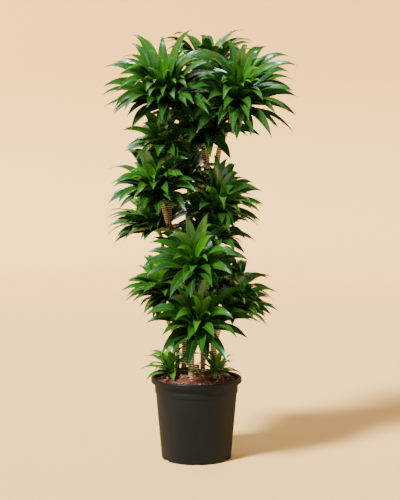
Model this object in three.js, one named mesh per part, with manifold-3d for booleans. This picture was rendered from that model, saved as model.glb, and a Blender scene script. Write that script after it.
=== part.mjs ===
// A branched, multi-caned dracaena (a corn plant with short, dark, glossy leaves) in a nursery pot.
// Millimetres, +Z up. The origin is the centre of the pot's underside, and -Y is the front.
import * as THREE from "three";
import { mergeVertices } from "three/addons/utils/BufferGeometryUtils.js";
import Module from "manifold-3d";

const wasm = await Module();
wasm.setup();

// ---- Driving dimensions -------------------------------------------------------------------------

const CLEARANCE = 0.3; // between pieces that touch

const POT_HEIGHT = 280;
const POT_RIM_RADIUS = 155; // outside of the rolled rim
const POT_MOUTH_RADIUS = 145; // inside of the rolled rim
const POT_RIM_FOOT = 263.5; // height at which the rolled rim begins
const POT_COLLAR_FOOT = 229.5; // height at which the straight band under the rim begins
const POT_COLLAR_STEP = 2.9; // how far the band stands out of the wall
const POT_STEP_RISE = 2.4; // height of the slope from the wall out to the band
const POT_HEEL_RADIUS = 119.3;
const POT_HEEL_ROUND = 6;
const POT_WALL_FLARE = 0.085; // radius gained per millimetre of height
const POT_WALL = 2.6;
const POT_FLOOR = 3;
const POT_SIDES = 32;
const DRAIN_COUNT = 6;
const DRAIN_WIDTH = 31;
const DRAIN_HEIGHT = 8;
const DRAIN_DEPTH = 20;

const SOIL_EDGE_HEIGHT = 264;
const SOIL_CROWN_HEIGHT = 290;
const SOIL_RINGS = [0.92, 0.7, 0.42, 0]; // rings of points on the surface, as shares of its radius
const SOIL_LUMP = 2.6; // height of the coarse bark chips
const ROOTING_DEPTH = 90; // how deep a cane stands in the soil
const STUB_DEPTH = 45;
const SHOOT_DEPTH = 30;
const HOLE_HEADROOM = 30; // how far the tool that makes a hole stands over the soil

const CANE_SIDES = 6;
const CANE_STEP = 84; // spacing of the rings of points along a cane
const CANE_TAPER = 1.8; // radius that a cane loses from its foot to its tip
const CANE_SEAT = 24; // straight length of wood under a head

const STEM_SIDES = 5;
const STEM_RADIUS = 7.5;
const SHOOT_STEM_RADIUS = 6;
const STEM_SWELL = 1.6; // the leaf bases thicken the green stem
const STEM_SWELL_AT = 0.4; // where they do so the most, as a share of the stack
const STEM_TIP_RADIUS = 5.5;

const LEAF_STEPS = 40; // steps of the sum that bends a midrib
const LONG_LEAF = 210; // a blade over this length has one section more
const LONG_STATIONS = [0, 14, 27, 35, LEAF_STEPS]; // the steps that carry a section
const SHORT_STATIONS = [0, 17, 32, LEAF_STEPS];
const LEAF_CHANNEL = 0.22; // how far the edges rise over the midrib, per half width
const LEAF_ROOT_SHARE = 0.5; // width at the root, as a share of the full width
const LEAF_WIDEST = 0.42; // where along the blade it is widest
const LEAF_TAPER = 2; // the blade keeps its width longer where this is more
const TIP_TAPER = 1.2; // the tip is drawn out finer where this is more
const LEAF_CLEARANCE = 0.7; // kept to everything that isn't the leaf's own shoot
const GOLDEN_ANGLE = Math.PI * (3 - Math.sqrt(5)); // from one leaf to the next, round the stem
const OLDEST_LEAF_AT = 0.1; // where the oldest leaf grows, as a share of the stack
const LEAF_SPAN = 0.86; // from there to the youngest leaf
const MIDRIB_OFFSET = 4; // from the stem's axis to the root of a midrib
const YOUNGEST_RISE = 84; // angle of the youngest leaves, in degrees: 90 is straight up the stem
const STEEPEST_RISE = 1.5; // the most that a bent leaf may rise, in radians
const FULL_LEAN = 0.4; // a head that leans by this much, per unit of height, opens in full
const OPENING = 0.6; // how much sooner an open head's leaves spread on the side that it leans to
const OPENING_LIFT = 26; // how much higher its oldest leaves stay on that side, in degrees
const OPENING_LIMIT = -0.4; // leaves that face back more than this spread no later for it
const HELD_UP = 0.15; // share of the droop that is missing in a leaf that points the way its head leans
const YOUNGEST_DROOP = 1.3; // how far a tip gives way to its weight
const OLDEST_DROOP = 1.6;
const DROOP_POWER = 3; // a midrib is nearly straight at first, and its tip hooks over
const BOW = 0.45; // how far it hooks away from the stem for each part that it hooks down
const UNFOLDING_AGE = 0.24; // leaves younger than this are still growing
const UNFOLDING_LENGTH = 0.5; // length of the very youngest, as a share of the full length
const ROLLED_AGE = 0.2; // leaves younger than this are still partly rolled, and narrower
const ROLLED_WIDTH = 0.5; // width of the very youngest, as a share of the full width
const AGEING_AGE = 0.7; // leaves older than this grew when the head was small
const AGEING_LOSS = 0.24; // length that the very oldest lack, as a share

// How far leaves of one head differ: azimuth is in radians, rise in degrees, and the rest are shares.
const VARY = { azimuth: 0.22, rise: 8, twist: 0.35, droop: 0.45, length: 0.12, width: 0.07 };

// ---- Colours ------------------------------------------------------------------------------------

const potPlastic = new THREE.MeshStandardMaterial({ color: 0x2b2a2b, roughness: 0.52, metalness: 0 });
const barkSoil = new THREE.MeshStandardMaterial({ color: 0x6d4126, roughness: 0.95, metalness: 0 });
const caneBark = new THREE.MeshStandardMaterial({ color: 0x9b7650, roughness: 0.8, metalness: 0 });
const leafGreen = new THREE.MeshStandardMaterial({ color: 0x2c6a1f, roughness: 0.34, metalness: 0 });
const youngGreen = new THREE.MeshStandardMaterial({ color: 0x4c8f26, roughness: 0.36, metalness: 0 });

// ---- The plant: the leafy heads, and the canes and branches that carry them ---------------------

// base: where a head's green stem starts. lean: which way the stem points. stack: length of the stem
// that carries leaves. length and width: of a full-grown leaf. lowest: angle of the oldest leaves over
// the plane square to the stem, in degrees. turn: azimuth of the first leaf, in degrees. sunk: a
// shoot's depth in the soil. A head gives way to those before it, so the front and top ones come first.
const HEADS = {
  head_top_left: {
    base: [-98, -96, 1194], lean: [-0.14, -0.66, 1], stack: 38, leaves: 42, length: 242, width: 39,
    lowest: 10, turn: 327,
  },
  head_top_right: {
    base: [124, -96, 1188], lean: [0.18, -0.76, 1], stack: 38, leaves: 40, length: 240, width: 39,
    lowest: 2, turn: 72,
  },
  head_low_front: {
    base: [4, -98, 459], lean: [0.11, -0.92, 1], stack: 32, leaves: 28, length: 202, width: 39,
    lowest: 4, turn: 208,
  },
  head_front: {
    base: [-6, -132, 654], lean: [0.06, -0.9, 1], stack: 32, leaves: 28, length: 186, width: 38,
    lowest: 12, turn: 122,
  },
  head_mid_left: {
    base: [-120, -84, 898], lean: [-0.3, -0.64, 1], stack: 36, leaves: 30, length: 182, width: 39,
    lowest: 8, turn: 251,
  },
  head_mid_right: {
    base: [56, -66, 838], lean: [0.4, -0.5, 1], stack: 36, leaves: 30, length: 176, width: 39,
    lowest: 8, turn: 310,
  },
  head_low_left: {
    base: [-92, -52, 554], lean: [-0.34, -0.55, 1], stack: 34, leaves: 26, length: 162, width: 38,
    lowest: 10, turn: 233,
  },
  head_far_right: {
    base: [98, -36, 502], lean: [0.5, -0.28, 1], stack: 34, leaves: 26, length: 172, width: 38,
    lowest: 10, turn: 209,
  },
  head_upper_mid: {
    base: [28, -36, 1094], lean: [0.08, -0.76, 1], stack: 36, leaves: 26, length: 194, width: 41,
    lowest: 8, turn: 176,
  },
  head_low_right: {
    base: [114, 40, 542], lean: [0.36, 0.02, 1], stack: 36, leaves: 24, length: 156, width: 38,
    lowest: -2, turn: 206,
  },
  head_left: {
    base: [-126, 42, 770], lean: [-0.38, -0.2, 1], stack: 38, leaves: 26, length: 190, width: 39,
    lowest: 0, turn: 43,
  },
  head_mid_centre: {
    base: [-28, 14, 940], lean: [-0.17, -0.46, 1], stack: 36, leaves: 22, length: 170, width: 39,
    lowest: 8, turn: 314,
  },
  head_upper_left: {
    base: [-98, -92, 1056], lean: [-0.34, -0.54, 1], stack: 36, leaves: 20, length: 134, width: 38,
    lowest: -8, turn: 42,
  },
  head_top_back: {
    base: [36, 104, 1266], lean: [0.02, -0.16, 1], stack: 44, leaves: 28, length: 226, width: 40,
    lowest: 4, turn: 40,
  },
  head_mid_back: {
    base: [66, 104, 850], lean: [0.04, 0.42, 1], stack: 36, leaves: 17, length: 150, width: 38,
    lowest: 0, turn: 21,
  },
  head_right: {
    base: [48, -44, 748], lean: [0.3, -0.48, 1], stack: 36, leaves: 24, length: 146, width: 38,
    lowest: 4, turn: 194,
  },
  head_low_centre: {
    base: [36, -22, 562], lean: [0.1, -0.4, 1], stack: 34, leaves: 24, length: 156, width: 38,
    lowest: 2, turn: 140,
  },
  head_low_back: {
    base: [-2, 106, 474], lean: [-0.06, 0.2, 1], stack: 34, leaves: 18, length: 156, width: 38,
    lowest: 0, turn: 200,
  },
  shoot_left: {
    base: [-80, 2, 288], lean: [-0.2, -0.16, 1], stack: 36, leaves: 12, length: 114, width: 27,
    lowest: 6, turn: 130, sunk: SHOOT_DEPTH,
  },
  shoot_right: {
    base: [62, -44, 290], lean: [0.24, -0.1, 1], stack: 32, leaves: 11, length: 90, width: 22,
    lowest: 6, turn: 15, sunk: SHOOT_DEPTH,
  },
};

// route: points from the soil's surface up, which end under the head. from: where along its cane a
// branch leaves, as a share of the cane's length.
const CANES = {
  cane_front: {
    radius: 10.5,
    route: [[-17, -30, 290], [-16, -31, 430], [-14, -24, 600], [-17, -2, 770]],
    head: "head_mid_centre",
    branches: [
      { from: 0.12, radius: 8, route: [], head: "head_low_front" },
      { from: 0.42, radius: 8, route: [[-18, -60, 590]], head: "head_front" },
    ],
  },
  cane_left: {
    radius: 10,
    route: [
      [-44, 30, 290], [-41, 26, 410], [-62, 6, 580], [-88, -22, 740], [-92, -34, 880], [-97, -54, 1030],
    ],
    head: "head_top_left",
    branches: [
      { from: 0.56, radius: 8, route: [], head: "head_mid_left" },
      { from: 0.76, radius: 7.5, route: [], head: "head_upper_left" },
    ],
  },
  cane_thin: {
    radius: 8,
    route: [[-66, 58, 290], [-66, 52, 390], [-84, 48, 500], [-112, 44, 630]],
    head: "head_left",
    branches: [{ from: 0.26, radius: 7, route: [[-96, 6, 470]], head: "head_low_left" }],
  },
  cane_right: {
    radius: 10.5,
    route: [
      [56, 2, 290], [59, 4, 390], [63, 4, 560], [60, -2, 760], [61, -14, 930], [78, -40, 1060],
    ],
    head: "head_top_right",
    branches: [
      { from: 0.1, radius: 8, route: [], head: "head_far_right" },
      { from: 0.17, radius: 7.5, route: [], head: "head_low_right" },
      { from: 0.42, radius: 7.5, route: [], head: "head_right" },
      { from: 0.5, radius: 8, route: [], head: "head_mid_right" },
    ],
  },
  cane_back: {
    radius: 9.5,
    route: [[22, 58, 290], [26, 58, 500], [32, 48, 760], [34, 38, 950], [40, 66, 1100]],
    head: "head_top_back",
    branches: [
      { from: 0.08, radius: 7, route: [], head: "head_low_back" },
      { from: 0.16, radius: 7, route: [], head: "head_low_centre" },
      { from: 0.5, radius: 7.5, route: [], head: "head_mid_back" },
      { from: 0.68, radius: 8, route: [], head: "head_upper_mid" },
    ],
  },
};

// A cane that was sawn off near the soil, and left there.
const STUB = { radius: 8.5, foot: [2, 22, 290], height: 28 };

// The bends that a leaf may take to keep clear of its neighbours, tried in this order.
const BENDS = [
  { turn: 0, rise: 0, droop: 1, length: 1 },
  { turn: 0.16, rise: 0, droop: 1, length: 1 },
  { turn: -0.16, rise: 0, droop: 1, length: 1 },
  { turn: 0, rise: 0.16, droop: 0.9, length: 1 },
  { turn: 0, rise: -0.14, droop: 1.1, length: 1 },
  { turn: 0.26, rise: 0.14, droop: 1, length: 0.96 },
  { turn: -0.26, rise: 0.14, droop: 1, length: 0.96 },
  { turn: 0, rise: 0.3, droop: 0.7, length: 0.94 },
  { turn: 0.3, rise: -0.16, droop: 1.2, length: 0.92 },
  { turn: -0.3, rise: -0.16, droop: 1.2, length: 0.92 },
  { turn: 0.12, rise: 0.42, droop: 0.6, length: 0.86 },
  { turn: -0.12, rise: 0.42, droop: 0.6, length: 0.86 },
  { turn: 0, rise: 0.1, droop: 1.3, length: 0.72 },
  { turn: 0, rise: 0.5, droop: 0.6, length: 0.66 },
];

// ---- Solids -------------------------------------------------------------------------------------

const UP = new THREE.Vector3(0, 0, 1);

function vector(point) {
  return new THREE.Vector3(...point);
}

// A closed skin through rings of points, each ring counterclockwise about the way ahead.
// The first ring, the last ring or both may be a single point.
function loft(rings) {
  const positions = rings.flat().flatMap((point) => point.toArray());
  const sides = Math.max(...rings.map((ring) => ring.length));
  const starts = [];
  let count = 0;
  for (const ring of rings) {
    starts.push(count);
    count += ring.length;
  }
  const corner = (index, side) => starts[index] + (rings[index].length > 1 ? side % sides : 0);
  const faces = [];
  for (let index = 1; index < rings.length; index += 1) {
    for (let side = 0; side < sides; side += 1) {
      if (rings[index].length > 1) {
        faces.push(corner(index - 1, side), corner(index, side + 1), corner(index, side));
      }
      if (rings[index - 1].length > 1) {
        faces.push(corner(index - 1, side), corner(index - 1, side + 1), corner(index, side + 1));
      }
    }
  }
  const last = rings.length - 1;
  for (let side = 1; side < sides - 1; side += 1) {
    if (rings[0].length > 1) {
      faces.push(starts[0], starts[0] + side + 1, starts[0] + side);
    }
    if (rings[last].length > 1) {
      faces.push(starts[last], starts[last] + side, starts[last] + side + 1);
    }
  }
  const geometry = new THREE.BufferGeometry();
  geometry.setAttribute("position", new THREE.Float32BufferAttribute(positions, 3));
  geometry.setIndex(faces);
  return geometry;
}

// A closed geometry as a solid that can be joined and cut.
function solidOf(geometry) {
  const bare = geometry.clone();
  bare.deleteAttribute("normal");
  bare.deleteAttribute("uv");
  const merged = mergeVertices(bare, 1e-4);
  const mesh = new wasm.Mesh({
    numProp: 3,
    vertProperties: merged.attributes.position.array,
    triVerts: new Uint32Array(merged.index.array),
  });
  return new wasm.Manifold(mesh);
}

// A solid as a geometry, without the scraps that fusing leaves and with its sealed hollows filled.
function geometryOf(solid) {
  const bodies = solid.decompose().sort((a, b) => b.volume() - a.volume());
  const mesh = bodies[0].getMesh();
  const geometry = new THREE.BufferGeometry();
  geometry.setAttribute("position", new THREE.BufferAttribute(mesh.vertProperties.slice(), 3));
  geometry.setIndex(new THREE.BufferAttribute(mesh.triVerts.slice(), 1));
  return geometry;
}

function boxesMeet(a, b) {
  return [0, 1, 2].every((axis) => a.min[axis] <= b.max[axis] && b.min[axis] <= a.max[axis]);
}

function solidsMeet(a, b) {
  return boxesMeet(a.boundingBox(), b.boundingBox()) && !a.intersect(b).isEmpty();
}

// A ring of points square to a direction. The first point lies towards +X as far as it can.
function ringAt(centre, direction, radius, sides) {
  const across = new THREE.Vector3(1, 0, 0).addScaledVector(direction, -direction.x).normalize();
  const along = new THREE.Vector3().crossVectors(direction, across);
  const ring = [];
  for (let side = 0; side < sides; side += 1) {
    const angle = (side / sides) * 2 * Math.PI;
    const point = centre.clone().addScaledVector(across, radius * Math.cos(angle));
    ring.push(point.addScaledVector(along, radius * Math.sin(angle)));
  }
  return ring;
}

// A level ring of points at a depth under a foot.
function footRing(foot, depth, radius, sides) {
  return ringAt(vector(foot).addScaledVector(UP, -depth), UP, radius, sides);
}

// ---- Pot ----------------------------------------------------------------------------------------

function wallRadius(height) {
  return POT_HEEL_RADIUS + height * POT_WALL_FLARE;
}

// Outline of the half section, from the centre of the underside round to the centre of the floor.
function potProfile() {
  const wall = wallRadius(POT_COLLAR_FOOT);
  const band = wall + POT_COLLAR_STEP;
  const knee = POT_FLOOR + POT_HEEL_ROUND - 2;
  return [
    [0, 0],
    [POT_HEEL_RADIUS - POT_HEEL_ROUND, 0],
    [POT_HEEL_RADIUS - 1.5, 1.6],
    [POT_HEEL_RADIUS, POT_HEEL_ROUND],
    [wall, POT_COLLAR_FOOT - POT_STEP_RISE],
    [band, POT_COLLAR_FOOT],
    [band + 1, POT_RIM_FOOT],
    [POT_RIM_RADIUS - 1.4, POT_RIM_FOOT + 0.4],
    [POT_RIM_RADIUS, POT_RIM_FOOT + 3],
    [POT_RIM_RADIUS - 0.2, POT_HEIGHT - 4.2],
    [POT_RIM_RADIUS - 2.4, POT_HEIGHT - 0.8],
    [POT_RIM_RADIUS - 5, POT_HEIGHT],
    [POT_MOUTH_RADIUS + 1.2, POT_HEIGHT - 1.4],
    [POT_MOUTH_RADIUS, POT_HEIGHT - 4.2],
    [band - POT_WALL + 1, POT_RIM_FOOT - 4],
    [band - POT_WALL, POT_COLLAR_FOOT],
    [wall - POT_WALL, POT_COLLAR_FOOT - POT_STEP_RISE],
    [wallRadius(knee) - POT_WALL, knee],
    [POT_HEEL_RADIUS - POT_HEEL_ROUND - 1, POT_FLOOR],
    [0, POT_FLOOR],
  ];
}

function turned(profile) {
  const points = profile.map(([radius, height]) => new THREE.Vector2(radius, height));
  return new THREE.LatheGeometry(points, POT_SIDES).rotateX(Math.PI / 2);
}

function makePot() {
  let pot = solidOf(turned(potProfile()));
  for (let index = 0; index < DRAIN_COUNT; index += 1) {
    const slot = new THREE.BoxGeometry(DRAIN_WIDTH, DRAIN_DEPTH, 2 * DRAIN_HEIGHT);
    slot.translate(0, -POT_HEEL_RADIUS, 0);
    slot.rotateZ((index / DRAIN_COUNT) * 2 * Math.PI);
    pot = pot.subtract(solidOf(slot));
  }
  return pot;
}

// ---- Soil ---------------------------------------------------------------------------------------

// Height of the soil's surface at a share of its radius, before the chips are added.
function soilHeight(share) {
  const mound = Math.cos((share * Math.PI) / 2) ** 0.8;
  return SOIL_EDGE_HEIGHT + (SOIL_CROWN_HEIGHT - SOIL_EDGE_HEIGHT) * mound;
}

// Chips of bark: a bumpy height that depends on the place alone.
function chipHeight(x, y) {
  const across = Math.sin(x * 0.23 + 1.3 * Math.sin(y * 0.17));
  const along = Math.cos(y * 0.21 - 0.9 * Math.sin(x * 0.13));
  const fine = Math.sin(x * 0.61 + 2) * Math.sin(y * 0.57 + 1);
  return SOIL_LUMP * (0.65 * across * along + 0.35 * fine);
}

function makeMound() {
  const inside = -POT_WALL - CLEARANCE;
  const foot = POT_FLOOR + CLEARANCE;
  const knee = foot + POT_HEEL_ROUND - 2;
  const edge = wallRadius(POT_COLLAR_FOOT) + POT_COLLAR_STEP + inside;
  const profile = [
    [0, foot],
    [POT_HEEL_RADIUS - POT_HEEL_ROUND - 1 - CLEARANCE, foot],
    [wallRadius(knee) + inside, knee],
    [wallRadius(POT_COLLAR_FOOT) + inside, POT_COLLAR_FOOT - POT_STEP_RISE],
    [edge, POT_COLLAR_FOOT + CLEARANCE],
    [edge, SOIL_EDGE_HEIGHT - SOIL_LUMP],
  ];
  for (const share of SOIL_RINGS) {
    profile.push([edge * share, soilHeight(share)]);
  }
  const geometry = turned(profile);
  const points = geometry.attributes.position;
  for (let index = 0; index < points.count; index += 1) {
    const height = points.getZ(index);
    if (height > SOIL_EDGE_HEIGHT) {
      points.setZ(index, height + chipHeight(points.getX(index), points.getY(index)));
    }
  }
  return solidOf(geometry);
}

// The hole in the soil that a straight foot stands in, a little wider and deeper than the foot.
function plantingHole(foot, depth, radius, sides) {
  const wide = radius + 2 * CLEARANCE;
  const lower = footRing(foot, depth + CLEARANCE, wide, sides);
  const upper = footRing(foot, -HOLE_HEADROOM, wide, sides);
  return solidOf(loft([lower, upper]));
}

function makeSoil() {
  let soil = makeMound();
  for (const { radius, route } of Object.values(CANES)) {
    soil = soil.subtract(plantingHole(route[0], ROOTING_DEPTH, radius, CANE_SIDES));
  }
  soil = soil.subtract(plantingHole(STUB.foot, STUB_DEPTH, STUB.radius, CANE_SIDES));
  for (const head of Object.values(HEADS).filter(({ sunk }) => sunk)) {
    soil = soil.subtract(plantingHole(head.base, head.sunk, SHOOT_STEM_RADIUS, STEM_SIDES));
  }
  return soil;
}

// ---- Canes --------------------------------------------------------------------------------------

function axisOf({ lean }) {
  return vector(lean).normalize();
}

// The curve of a cane or branch, which runs square into the seat of the head that it carries.
function routeTo(points, head) {
  const end = vector(head.base);
  const before = end.clone().addScaledVector(axisOf(head), -CANE_SEAT);
  return new THREE.CatmullRomCurve3([...points, before, end], false, "centripetal");
}

function woodAlong(curve, radius, tipRadius, head) {
  const count = Math.max(3, Math.round(curve.getLength() / CANE_STEP));
  const rings = [];
  for (let index = 0; index <= count; index += 1) {
    const share = index / count;
    const direction = index === count ? axisOf(head) : curve.getTangentAt(share);
    const width = radius + (tipRadius - radius) * share;
    rings.push(ringAt(curve.getPointAt(share), direction, width, CANE_SIDES));
  }
  return rings;
}

function makeCane({ radius, route, head, branches }) {
  const trunkCurve = routeTo(route.map(vector), HEADS[head]);
  const trunk = woodAlong(trunkCurve, radius, radius - CANE_TAPER, HEADS[head]);
  let cane = solidOf(loft([footRing(route[0], ROOTING_DEPTH, radius, CANE_SIDES), ...trunk]));
  for (const branch of branches) {
    const start = trunkCurve.getPointAt(branch.from);
    const curve = routeTo([start, ...branch.route.map(vector)], HEADS[branch.head]);
    cane = cane.add(solidOf(loft(woodAlong(curve, branch.radius, branch.radius, HEADS[branch.head]))));
  }
  return cane;
}

function makeStub() {
  const lower = footRing(STUB.foot, STUB_DEPTH, STUB.radius, CANE_SIDES);
  const upper = footRing(STUB.foot, -STUB.height, STUB.radius, CANE_SIDES);
  return solidOf(loft([lower, upper]));
}

// ---- Leaves -------------------------------------------------------------------------------------

// A seeded draw from -1 to 1.
function draw(seed, index, channel) {
  const wave = Math.sin(seed * 12.9898 + index * 78.233 + channel * 37.719) * 43758.5453;
  return 2 * (wave - Math.floor(wave)) - 1;
}

// Width of the blade at a share of its length, against its full width: a narrow clasping root,
// widest before the middle, then a long taper to the tip.
function leafWidth(share) {
  if (share < LEAF_WIDEST) {
    const swell = Math.sin((share / LEAF_WIDEST) * (Math.PI / 2));
    return LEAF_ROOT_SHARE + (1 - LEAF_ROOT_SHARE) * swell;
  }
  const past = (share - LEAF_WIDEST) / (1 - LEAF_WIDEST);
  return (1 - past ** LEAF_TAPER) ** TIP_TAPER;
}

// How far a leaf points the way that its head leans: 1 straight there, -1 straight back, and nearer 0
// in a head that stands almost upright.
function facingOf(head, away) {
  const tilt = vector(head.lean).setZ(0);
  return (away.dot(tilt) / tilt.length()) * Math.min(tilt.length() / FULL_LEAN, 1);
}

// Angle of a leaf over the plane square to the stem, by its age, in radians.
function riseAt(age, lowest, facing) {
  const top = THREE.MathUtils.degToRad(YOUNGEST_RISE);
  const low = THREE.MathUtils.degToRad(lowest + OPENING_LIFT * facing);
  return top + (low - top) * age ** (1 - OPENING * Math.max(facing, OPENING_LIMIT));
}

// Length of a leaf by its age, against the full length.
function growth(age) {
  if (age < UNFOLDING_AGE) {
    return UNFOLDING_LENGTH + (1 - UNFOLDING_LENGTH) * (age / UNFOLDING_AGE);
  }
  return 1 - (AGEING_LOSS * Math.max(age - AGEING_AGE, 0)) / (1 - AGEING_AGE);
}

// Width of a leaf by its age, against the full width.
function unrolled(age) {
  return ROLLED_WIDTH + (1 - ROLLED_WIDTH) * Math.min(age / ROLLED_AGE, 1);
}

// One leaf of a head: where it grows, which way, how long and wide. Age runs from 0 at the youngest
// to 1 at the oldest, which grows lowest.
function leafPlan(head, seed, index, bend) {
  const vary = (channel, amount) => amount * draw(seed, index, channel);
  const axis = axisOf(head);
  const age = 1 - (index + 0.5) / head.leaves;
  const first = THREE.MathUtils.degToRad(head.turn);
  const azimuth = first + index * GOLDEN_ANGLE + vary(1, VARY.azimuth) + bend.turn;
  const side = new THREE.Vector3(1, 0, 0).addScaledVector(axis, -axis.x).normalize();
  const away = side.clone().multiplyScalar(Math.cos(azimuth));
  away.addScaledVector(new THREE.Vector3().crossVectors(axis, side), Math.sin(azimuth));
  const facing = facingOf(head, away);
  const plain = riseAt(age, head.lowest, facing);
  const raised = plain + THREE.MathUtils.degToRad(vary(2, VARY.rise));
  const rise = Math.min(raised + bend.rise, STEEPEST_RISE);
  const start = vector(head.base);
  start.addScaledVector(axis, head.stack * (OLDEST_LEAF_AT + LEAF_SPAN * (1 - age)));
  const across = new THREE.Vector3().crossVectors(axis, away);
  const heavy = YOUNGEST_DROOP + (OLDEST_DROOP - YOUNGEST_DROOP) * age + vary(4, VARY.droop);
  const droop = heavy * (1 - HELD_UP * Math.max(facing, 0));
  return {
    start: start.addScaledVector(away, MIDRIB_OFFSET),
    ahead: away.clone().multiplyScalar(Math.cos(rise)).addScaledVector(axis, Math.sin(rise)),
    across: across.addScaledVector(axis, vary(3, VARY.twist)).normalize(),
    bow: away.clone().multiplyScalar(BOW).sub(UP).multiplyScalar(droop * bend.droop),
    length: head.length * growth(age) * (1 + vary(5, VARY.length)) * bend.length,
    width: head.width * unrolled(age) * (1 + vary(6, VARY.width)),
  };
}

// Points and directions along a midrib that starts straight ahead, then bows out and down.
function midrib({ start, ahead, bow, length }) {
  const point = start.clone();
  const stops = [{ point: point.clone(), direction: ahead.clone() }];
  for (let step = 0; step < LEAF_STEPS; step += 1) {
    const share = (step + 0.5) / LEAF_STEPS;
    const direction = ahead.clone().addScaledVector(bow, share ** DROOP_POWER).normalize();
    point.addScaledVector(direction, length / LEAF_STEPS);
    stops.push({ point: point.clone(), direction });
  }
  return stops;
}

// The blade as a solid of three sides: two edges over a keel. It grows from a point inside the stem
// and ends in a point at the tip. A margin fattens it for a trial.
function bladeOf(plan, margin) {
  const stops = midrib(plan);
  const stations = plan.length > LONG_LEAF ? LONG_STATIONS : SHORT_STATIONS;
  const rings = stations.map((step) => {
    const { point, direction } = stops[step];
    if (step === 0) {
      return [point];
    }
    if (step === LEAF_STEPS) {
      return [point.clone().addScaledVector(direction, margin)];
    }
    const across = plan.across.clone().addScaledVector(direction, -plan.across.dot(direction)).normalize();
    const over = new THREE.Vector3().crossVectors(direction, across);
    const half = (plan.width * leafWidth(step / LEAF_STEPS)) / 2;
    const edge = (sign) => {
      const out = point.clone().addScaledVector(across, sign * (half + margin));
      return out.addScaledVector(over, half * LEAF_CHANNEL + margin);
    };
    return [edge(1), edge(-1), point.clone().addScaledVector(over, -margin)];
  });
  return solidOf(loft(rings));
}

// The green stem that the leaves grow from, swollen by their bases.
function stemOf(head) {
  const axis = axisOf(head);
  const radius = head.sunk ? SHOOT_STEM_RADIUS : STEM_RADIUS;
  const at = (distance) => vector(head.base).addScaledVector(axis, distance);
  const rings = head.sunk ? [footRing(head.base, head.sunk, radius, STEM_SIDES)] : [];
  rings.push(ringAt(at(head.sunk ? 0 : CLEARANCE), axis, radius, STEM_SIDES));
  rings.push(ringAt(at(head.stack * STEM_SWELL_AT), axis, radius * STEM_SWELL, STEM_SIDES));
  rings.push(ringAt(at(head.stack), axis, STEM_TIP_RADIUS, STEM_SIDES));
  return solidOf(loft(rings));
}

// A head of leaves, each fused to the stem. A leaf that no bend frees of its neighbours is left out.
function makeHead(head, seed, stem, neighbours) {
  let shoot = stem;
  for (let index = 0; index < head.leaves; index += 1) {
    for (const bend of BENDS) {
      const plan = leafPlan(head, seed, index, bend);
      const trial = bladeOf(plan, LEAF_CLEARANCE);
      if (!neighbours.some((neighbour) => solidsMeet(trial, neighbour))) {
        shoot = shoot.add(bladeOf(plan, 0));
        break;
      }
    }
  }
  return shoot;
}

// ---- Assembly -----------------------------------------------------------------------------------

const plant = new THREE.Group();
const solids = [];

function addPiece(name, solid, material) {
  const geometry = geometryOf(solid).toNonIndexed();
  geometry.computeVertexNormals();
  const mesh = new THREE.Mesh(geometry, material);
  mesh.name = name;
  plant.add(mesh);
  solids.push(solid);
}

// Every head keeps clear of the pieces made before it and of the stems of all the other heads.
function addHeads() {
  const stems = Object.values(HEADS).map(stemOf);
  Object.entries(HEADS).forEach(([name, head], order) => {
    const others = stems.filter((stem) => stem !== stems[order]);
    const shoot = makeHead(head, order + 1, stems[order], [...solids, ...others]);
    addPiece(name, shoot, head.sunk ? youngGreen : leafGreen);
  });
}

addPiece("pot", makePot(), potPlastic);
addPiece("soil", makeSoil(), barkSoil);
for (const [name, cane] of Object.entries(CANES)) {
  addPiece(name, makeCane(cane), caneBark);
}
addPiece("cane_stub", makeStub(), caneBark);
addHeads();

export default plant;
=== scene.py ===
"""Looks for a potted corn plant: slim canes with rosettes of glossy leaves in a black nursery pot.

The frame's own metres are used for every mesh: +Z up, the origin under the pot, the front at -Y. The sizes
of the plant are kept in millimetres, as they are in the part's source, and are turned into metres by MM.
"""

import logging
import math
from dataclasses import dataclass, field, replace
from enum import Enum
from functools import cache

import bpy
import numpy as np
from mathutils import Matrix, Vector, kdtree, noise


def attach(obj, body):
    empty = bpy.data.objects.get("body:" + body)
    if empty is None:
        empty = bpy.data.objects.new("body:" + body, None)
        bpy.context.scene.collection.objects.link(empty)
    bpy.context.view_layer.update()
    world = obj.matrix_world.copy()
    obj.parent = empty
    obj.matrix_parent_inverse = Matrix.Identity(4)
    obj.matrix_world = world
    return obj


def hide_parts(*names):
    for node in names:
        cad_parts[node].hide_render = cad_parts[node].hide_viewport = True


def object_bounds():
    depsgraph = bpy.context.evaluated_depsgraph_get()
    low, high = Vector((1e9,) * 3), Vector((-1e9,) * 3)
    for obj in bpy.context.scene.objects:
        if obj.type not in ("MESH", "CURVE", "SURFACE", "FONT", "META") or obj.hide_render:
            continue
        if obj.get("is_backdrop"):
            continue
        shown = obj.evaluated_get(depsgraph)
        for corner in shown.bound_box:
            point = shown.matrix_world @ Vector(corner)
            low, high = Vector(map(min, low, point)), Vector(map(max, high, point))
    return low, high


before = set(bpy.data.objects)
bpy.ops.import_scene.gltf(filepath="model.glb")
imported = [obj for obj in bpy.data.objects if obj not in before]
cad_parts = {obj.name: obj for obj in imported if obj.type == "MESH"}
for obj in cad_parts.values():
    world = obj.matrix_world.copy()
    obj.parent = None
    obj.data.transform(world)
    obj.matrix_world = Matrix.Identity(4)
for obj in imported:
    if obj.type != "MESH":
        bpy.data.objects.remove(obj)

log = logging.getLogger("plant")

MM = 0.001
UP = np.array((0.0, 0.0, 1.0))
BODY = "root"

# ---- Shader maths -------------------------------------------------------------------------------


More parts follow.
